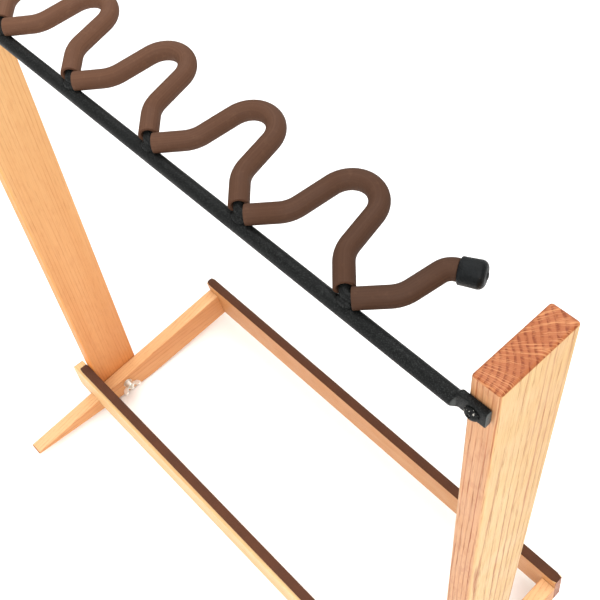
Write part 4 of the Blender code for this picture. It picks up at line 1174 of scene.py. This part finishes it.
@dataclass
class Rails:
    """The rear and front rails with their pads and screws."""

    ease: float = 0.0013
    corner: float = 0.008
    foot_top_z: float = 0.0326
    front_thick: float = 0.0115
    front_tall: float = 0.061
    front_half: float = 0.3022
    pad_tall: float = 0.0027
    foot_end_tall: float = 0.0442
    screw_spread: float = 0.018
    foot_thick: float = 0.018
    notch_play: float = 0.0005
    rear_crown: float = 0.0003
    front_crown: float = 0.0013
    screw_head: float = 0.0082
    screw_d: float = 0.004
    screw_length: float = 0.035
    cross_span: float = 0.0046
    cross_slot: float = 0.001
    cross_depth: float = 0.0016
    cross_turn: float = math.radians(20)

    def build(self) -> None:
        """Makes both rails, then what is on them."""
        self.rear()
        self.front()
        foam = Foam("brown_foam_rear").material()
        # The front pad takes a darker copy of the same foam: painted shade.
        painted_shade_foam = Foam("brown_foam_front_painted_shade", colour(73, 42, 26), colour(95, 53, 30), colour(45, 25, 14)).material()
        rear = pad_strip(*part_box("rear_pad"), 0.0009, self.rear_crown, False)
        low = Vector((-self.front_half, -GAP - self.front_thick, self.front_tall + GAP))
        front = pad_strip(low, Vector((self.front_half, -GAP, low.z + self.pad_tall)), 0.0009, self.front_crown, True)
        bmesh.ops.transform(front, matrix=FRONT_END, verts=front.verts)
        for node, bm, finish, fill in (("rear_pad", rear, foam, 0.75), ("front_pad", front, painted_shade_foam, 0.85)):
            pad = make_object(bm, f"{node}_strip")
            dress(pad, node, finish, 50)
        self.screws()

    def rear(self) -> None:
        """Makes the rear rail: rounded corners, notches over the feet, dowel holes."""
        low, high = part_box("rear_rail")
        bm = board(low, high)
        for lower, radius, segments in ((True, self.corner, 10), (False, self.corner / 3, 6)):
            corners = [e for e in bm.edges if all((v.co.z < (low.z + high.z) / 2) == lower for v in e.verts)
                       and abs(e.verts[0].co.x - e.verts[1].co.x) < HAIR and abs(e.verts[0].co.z - e.verts[1].co.z) < HAIR]
            bevel(bm, corners, radius, segments)
        rims = [e for e in bm.edges if any(abs(f.normal.y) > 0.9 for f in e.link_faces)
                and any(abs(f.normal.y) < 0.1 for f in e.link_faces)]
        bevel(bm, rims, self.ease, 4)
        rail = make_object(bm, "rear_rail_board")
        cuts = []
        thick, middle_y = high.y - low.y, (low.y + high.y) / 2
        top = self.foot_top_z - math.tan(FOOT_SLOPE) * (middle_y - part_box("upright_left")[1].y)
        for side, sign in SIDES.items():
            x = sign * abs(middle_of(f"foot_{side}").x)
            bm = bmesh.new()
            bmesh.ops.create_cube(bm, size=1)
            bmesh.ops.scale(bm, vec=(self.foot_thick + 2 * self.notch_play, 2 * thick, 0.04), verts=bm.verts)
            bmesh.ops.translate(bm, vec=(0, 0, GAP / math.cos(FOOT_SLOPE) - 0.02), verts=bm.verts)
            place = Matrix.Translation((x, middle_y, top)) @ Matrix.Rotation(-FOOT_SLOPE, 4, "X")
            bmesh.ops.transform(bm, matrix=place, verts=bm.verts)
            cuts.append(make_object(bm, "notch"))
        for number in range(1, 5):
            dowel_low, dowel_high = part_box(f"rail_dowel_{number}")
            dowel = (dowel_low + dowel_high) / 2
            cuts.append(drill(Vector((dowel.x, low.y - 0.01, dowel.z)), (0, 1, 0), 0.0043,
                              dowel_high.y + GAP - low.y + 0.01))
        join_with(rail, cuts)
        # Painted light: faces that look along y are made paler and bluer.
        finish = Oak("oak_rear_rail", Grain.ACROSS, tuple((low + high) / 2), (0.07, -0.11), figure=0.3,
                     painted_face_shades=(WHITE, tuple_of(1.07, 1.07, 1.13), WHITE))
        dress(rail, "rear_rail", finish.material(), flat_faces=True)

    def front(self) -> None:
        """Makes the front rail with its countersunk holes."""
        bm = board(Vector((-self.front_half, -GAP - self.front_thick, 0)), Vector((self.front_half, -GAP, self.front_tall)))
        bevel(bm, bm.edges, self.ease, 4)
        bmesh.ops.transform(bm, matrix=FRONT_END, verts=bm.verts)
        rail = make_object(bm, "front_rail_board")
        cuts = []
        r, head = self.screw_d / 2, self.screw_head / 2
        for number in range(1, 5):
            place = self.screw_place(number)
            sink = head - r
            bm = turned([(0, 0.002), (head + GAP, 0.002), (head + GAP, -GAP), (r + GAP, -sink - 2 * GAP),
                         (r + GAP, -0.02), (0, -0.02)], 40)
            bmesh.ops.transform(bm, matrix=place, verts=bm.verts)
            cuts.append(make_object(bm, "countersink"))
        join_with(rail, cuts)
        # Painted shade: faces that look along y are made darker and more orange.
        finish = Oak("oak_front_rail", Grain.ACROSS, tuple(middle_of("front_rail")), (-0.1, 0.07), figure=0.2,
                     painted_face_shades=(WHITE, tuple_of(0.8, 0.6, 0.5), WHITE))
        dress(rail, "front_rail", finish.material(), flat_faces=True)

    def screw_place(self, number: int) -> Matrix:
        """Frame of a front rail screw, +Z out of the rail's front."""
        x = middle_of(f"front_rail_screw_{number}").x
        z = (self.foot_end_tall + (-1 if number % 2 else 1) * self.screw_spread) / 2
        return FRONT_END @ Matrix.Translation((x, -GAP - self.front_thick, z)) @ Matrix.Rotation(math.radians(90), 4, "X")

    def screws(self) -> None:
        """Makes the countersunk screws of the front rail."""
        zinc = Zinc("zinc_rail_screws").material()
        r, head = self.screw_d / 2, self.screw_head / 2
        for number in range(1, 5):
            node = f"front_rail_screw_{number}"
            place = self.screw_place(number)
            length = self.screw_length
            sink = head - r
            bm = turned([(0, -GAP), (head - 0.0001, -GAP), (head, -GAP - 0.0001), (head, -GAP - 0.0004),
                         (r, -sink - 2 * GAP), (r, 2 * r - length), (r * 0.3, -length), (0, -length)], 40)
            bmesh.ops.transform(bm, matrix=place, verts=bm.verts)
            screw = make_object(bm, f"{node}_steel")
            top = place @ Matrix.Translation((0, 0, -GAP)) @ Matrix.Rotation(self.cross_turn, 4, "Z")
            join_with(screw, cross_driver(top, self.cross_span, self.cross_slot, self.cross_depth))
            dress(screw, node, zinc, 30)


@dataclass
class Feet:
    """The bellied feet."""

    thick: float = 0.018
    front_y: float = -0.1548
    tail_y: float = 0.1663
    top_z: float = 0.0326
    top_y: float = 0.0494
    nose_z: float = 0.0146
    belly_y: float = -0.0175
    belly_z: float = 0.0014
    belly_round: float = 0.15
    tail_z: float = 0.0133
    corner: float = 0.0019
    spare: float = 0.006
    ease: float = 0.0018

    def top(self, y: float) -> float:
        """Height of the foot's top edge."""
        return self.top_z - math.tan(FOOT_SLOPE) * (y - self.top_y)

    def under(self, y: float) -> float:
        """Height of the foot's straight underside ahead of the belly."""
        return self.belly_z + (self.nose_z - self.belly_z) * (self.belly_y - y) / (self.belly_y - self.front_y)

    def build(self) -> None:
        """Makes both feet."""
        for side in SIDES:
            node = f"foot_{side}"
            low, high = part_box(node)
            foot = make_object(self.blank((low.x + high.x) / 2), f"{node}_board")
            pivot = middle_of(f"washer_{side}")
            cuts = [drill(Vector((low.x - 0.01, pivot.y, pivot.z)), (1, 0, 0), 0.00305, 0.05)]
            rails = Rails()
            for screw in range(1, 5):
                place = rails.screw_place(screw)
                if low.x < place.translation.x < high.x:
                    down = place.to_3x3() @ Vector((0, 0, -1))
                    cuts.append(drill(place.translation, down, 0.0023, rails.screw_length + GAP))
            join_with(foot, cuts)
            # Painted shade: faces that look along x are made darker and more orange, and the top and bottom a little
            # pinker.
            finish = Oak(f"oak_{node}", Grain.REARWARD, tuple((low + high) / 2), (0.1, 0.07), figure=0.35,
                         painted_face_shades=(tuple_of(0.88, 0.63, 0.52), WHITE, tuple_of(1.02, 0.91, 0.94)))
            dress(foot, node, finish.material(), flat_faces=True)

    def blank(self, x: float) -> bmesh.types.BMesh:
        """Shapes a foot from its side view, drawn out to its thickness, rims eased, its front sawn square."""
        front = self.front_y - self.spare
        corners = [(front, self.under(front)), (self.belly_y, self.belly_z), (self.tail_y, self.tail_z),
                   (self.tail_y, self.top(self.tail_y)), (front, self.top(front))]
        radii = [self.corner, self.belly_round, self.corner, self.corner, self.corner]
        side = Matrix(((0, 0, 1, x - self.thick / 2), (1, 0, 0, 0), (0, 1, 0, 0), (0, 0, 0, 1)))
        bm = slab(filleted(corners, radii, math.radians(3)), side, self.thick, self.ease, 4)
        bmesh.ops.bisect_plane(bm, geom=list(bm.verts) + list(bm.edges) + list(bm.faces), dist=HAIR,
                               plane_co=FRONT_END.translation, plane_no=FRONT_END.to_3x3() @ Vector((0, -1, 0)),
                               clear_outer=True)
        bmesh.ops.edgeloop_fill(bm, edges=[e for e in bm.edges if e.is_boundary])
        bmesh.ops.recalc_face_normals(bm, faces=bm.faces)
        return bm


@dataclass
class Pivots:
    """Carriage bolts, washers and wing nuts that the feet turn on."""

    bolt_d: float = 0.006
    head_d: float = 0.0155
    head_tall: float = 0.0034
    thread_pitch: float = 0.001
    thread_run: float = 0.009
    washer_d: float = 0.0127
    nut_tall: float = 0.0075
    nut_base_d: float = 0.0118
    nut_top_d: float = 0.0096
    wing_span: float = 0.028
    wing_tall: float = 0.0138
    wing_thick: float = 0.0022
    wing_curve: tuple[tuple[float, float], ...] = ((0.82, 0.34), (1, 0.62), (0.93, 1), (0.62, 0.93))
    nut_turn: float = math.radians(95)
    voxel: float = 0.00035

    def build(self) -> None:
        """Makes both pivots' pieces."""
        zinc = Zinc("zinc_pivots").material()
        for side, sign in SIDES.items():
            self.bolt(side, sign, zinc)
            self.washer(side, zinc)
            self.nut(side, sign, zinc)

    def bolt(self, side: str, sign: int, finish: bpy.types.Material) -> None:
        """Makes a carriage bolt with a threaded end."""
        node = f"pivot_bolt_{side}"
        low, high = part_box(node)
        at = middle_of(f"washer_{side}")
        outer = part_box(f"upright_{side}")[1 if sign > 0 else 0].x + sign * GAP
        reach = (high.x - low.x) - self.head_tall
        r, head = self.bolt_d / 2, self.head_d / 2
        root = r - self.thread_pitch * 0.55
        profile = dome(head - 0.0002, self.head_tall - 0.0005, 0.0005, 10)
        profile += [(head, 0.0003), (head - 0.0002, 0.0), (r, 0.0), (r, self.thread_run - reach),
                    (root, self.thread_run - 0.0006 - reach), (root, 0.0004 - reach), (root - 0.0004, -reach), (0, -reach)]
        bm = turned(profile, 48)
        self.thread(bm, root, r, -reach + 0.0006, self.thread_run - 0.0012)
        place = Matrix.Translation((outer, at.y, at.z)) @ Matrix.Rotation(sign * math.radians(90), 4, "Y")
        bmesh.ops.transform(bm, matrix=place, verts=bm.verts)
        dress(make_object(bm, f"{node}_steel"), node, finish, 30)

    def thread(self, bm: bmesh.types.BMesh, root: float, crest: float, start: float, run: float) -> None:
        """Winds a closed ridge round a bolt's core."""
        p, sunk = self.thread_pitch, 0.00012
        steps = 24
        turns = run / p
        verts = [bm.verts.new(co) for co in ((root - sunk, 0, start), (root - sunk, 0, start + p * 0.82),
                                             (crest - 0.00002, 0, start + p * 0.47), (crest - 0.00002, 0, start + p * 0.35))]
        first = bm.faces.new(verts)
        count = round(steps * turns)
        bmesh.ops.spin(bm, geom=[first], cent=(0, 0, 0), axis=(0, 0, 1), dvec=(0, 0, run / count),
                       angle=math.tau * turns, steps=count, use_merge=False, use_duplicate=False)
        ridge = {face for vert in verts for face in vert.link_faces}
        stack = list(ridge)
        while stack:
            item = stack.pop()
            for vert in item.verts:
                for face in vert.link_faces:
                    if face not in ridge:
                        ridge.add(face)
                        stack.append(face)
        bmesh.ops.recalc_face_normals(bm, faces=list(ridge))

    def washer(self, side: str, finish: bpy.types.Material) -> None:
        """Makes a washer with a rolled edge on one side."""
        node = f"washer_{side}"
        low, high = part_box(node)
        r, bore, thick = self.washer_d / 2, self.bolt_d / 2 + GAP, high.x - low.x
        bm = turned([(r - 0.0004, thick), (r - 0.0001, thick - 0.0001), (r, thick - 0.0004), (r, 0.0001),
                     (r - 0.0001, 0), (bore, 0), (bore, thick)], 56)
        at = (low + high) / 2
        if side == "left":
            place = Matrix.Translation((high.x, at.y, at.z)) @ Matrix.Rotation(math.radians(-90), 4, "Y")
        else:
            place = Matrix.Translation((low.x, at.y, at.z)) @ Matrix.Rotation(math.radians(90), 4, "Y")
        bmesh.ops.transform(bm, matrix=place, verts=bm.verts)
        dress(make_object(bm, f"{node}_steel"), node, finish, 30)

    def wing(self) -> bmesh.types.BMesh:
        """Both wings as one plate: an outline with rounded corners, drawn out and eased."""
        hub = self.nut_top_d / 2 * 0.8
        curve = [(self.wing_span / 2 * x, self.wing_tall * z) for x, z in self.wing_curve]
        right = [(hub, self.nut_tall * 0.22)] + curve + [(hub, self.nut_tall * 0.8)]
        radii = (0.0008, 0.003, 0.003, 0.0022, 0.003, 0.0012)
        outline = filleted(right + [(-x, z) for x, z in reversed(right)], radii + radii[::-1], math.radians(10))
        side = Matrix(((1, 0, 0, 0), (0, 0, -1, self.wing_thick / 2), (0, 1, 0, 0), (0, 0, 0, 1)))
        return slab(outline, side, self.wing_thick, self.wing_thick * 0.3, 3)

    def nut(self, side: str, sign: int, finish: bpy.types.Material) -> None:
        """Makes a cast wing nut: hub and wings melted into one, then bored."""
        node = f"wing_nut_{side}"
        low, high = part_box(node)
        at = middle_of(f"washer_{side}")
        base = high.x if sign > 0 else low.x
        place = Matrix.Translation((base, at.y, at.z)) @ Matrix.Rotation(-sign * math.radians(90), 4, "Y")
        place = place @ Matrix.Rotation(self.nut_turn, 4, "Z")
        bm = turned([(0, self.nut_tall), (self.nut_top_d / 2 - 0.0004, self.nut_tall), (self.nut_top_d / 2, self.nut_tall - 0.0004),
                     (self.nut_base_d / 2, 0.0006), (self.nut_base_d / 2, 0.0), (0, 0.0)], 48)
        nut = make_object(bm, f"{node}_cast")
        wings = make_object(self.wing(), "nut_wings")
        join_with(nut, [wings], "UNION")
        melt = nut.modifiers.new("cast", "REMESH")
        melt.mode = "VOXEL"
        melt.voxel_size = self.voxel
        soften = nut.modifiers.new("soft edges", "SMOOTH")
        soften.factor = 0.5
        soften.iterations = 6
        settle(nut)
        join_with(nut, [drill(Vector((0, 0, -0.005)), (0, 0, 1), self.bolt_d / 2 + 0.0001, 0.02, 48)])
        nut.data.transform(place)
        dress(nut, node, finish, 45)


@dataclass
class Studio:
    """Pale floor, soft light and the photograph's camera."""

    camera_at: tuple[float, float, float] = (-0.4502, 0.2532, 1.1033)
    right: tuple[float, float, float] = (-0.67594, -0.73236, -0.08221)
    up: tuple[float, float, float] = (0.55067, -0.57606, 0.60408)
    back: tuple[float, float, float] = (-0.48977, 0.36305, 0.79267)
    lens: float = 57.03
    floor_size: float = 7.0
    world: float = 0.85

    def build(self) -> None:
        """Sets the stage."""
        scene = bpy.context.scene
        scene.view_settings.view_transform = "Standard"
        self.sky(scene)
        self.floor()
        self.softbox("key light", (-1.5, 1.0, 2.3), 1.8, 50.0)
        self.softbox("top light", (0.4, -0.6, 2.6), 2.4, 46.0)
        self.softbox("rear fill", (0.6, 2.4, 1.1), 1.6, 16.0)
        data = bpy.data.cameras.new("camera")
        data.lens = self.lens
        data.sensor_width = 36.0
        data.clip_start = 0.01
        camera = bpy.data.objects.new("camera", data)
        columns = (self.right, self.up, self.back)
        camera.matrix_world = Matrix.Translation(self.camera_at) @ Matrix(columns).transposed().to_4x4()
        scene.collection.objects.link(camera)
        scene.camera = camera

    def sky(self, scene: bpy.types.Scene) -> None:
        """Even white surroundings."""
        world = bpy.data.worlds.new("white surroundings")
        scene.world = world
        world.use_nodes = True
        shade = world.node_tree.nodes["Background"]
        shade.inputs["Color"].default_value = (1.0, 0.99, 0.975, 1.0)
        shade.inputs["Strength"].default_value = self.world

    def floor(self) -> None:
        """A plain pale floor."""
        bm = bmesh.new()
        bmesh.ops.create_grid(bm, x_segments=8, y_segments=8, size=self.floor_size / 2)
        floor = make_object(bm, "studio_floor")
        mat, graph, shader = blank_finish("pale floor")
        place = graph.node("ShaderNodeTexCoord").outputs["Object"]
        cloud = graph.noise(place, (3, 3, 3), 2.0)
        graph.feed(shader.inputs["Base Color"], graph.mix(cloud, (0.95, 0.95, 0.95, 1), (0.975, 0.975, 0.97, 1)))
        shader.inputs["Roughness"].default_value = 0.9
        floor.data.materials.append(mat)

    def softbox(self, name: str, at: Sequence[float], size: float, power: float) -> None:
        """One square lamp that looks at the stand."""
        data = bpy.data.lights.new(name, "AREA")
        data.size = size
        data.energy = power
        lamp = bpy.data.objects.new(name, data)
        aim = (Vector((0, 0.02, 0.35)) - Vector(at)).to_track_quat("-Z", "Y")
        lamp.matrix_world = Matrix.Translation(at) @ aim.to_matrix().to_4x4()
        bpy.context.scene.collection.objects.link(lamp)


def dress_dowels() -> None:
    """Gives the hidden dowels, which stay as they are, their own wood."""
    for number in range(1, 5):
        node = f"rail_dowel_{number}"
        obj = frame["nodes"][node]
        finish = Oak(f"beech_{node}", Grain.REARWARD, tuple(middle_of(node)), (0.03, 0.02), 0.003, 0.2)
        obj.data.materials.clear()
        obj.data.materials.append(finish.material())


def main() -> None:
    """Builds the sub-assemblies in order."""
    logging.basicConfig(level=logging.INFO, format="%(message)s", force=True)
    for assembly in (Studio(), Uprights(), NeckBar(), NeckYokes(), Rails(), Feet(), Pivots()):
        log.info("building %s", type(assembly).__name__)
        assembly.build()
    dress_dowels()


if __name__ == "__main__":
    main()
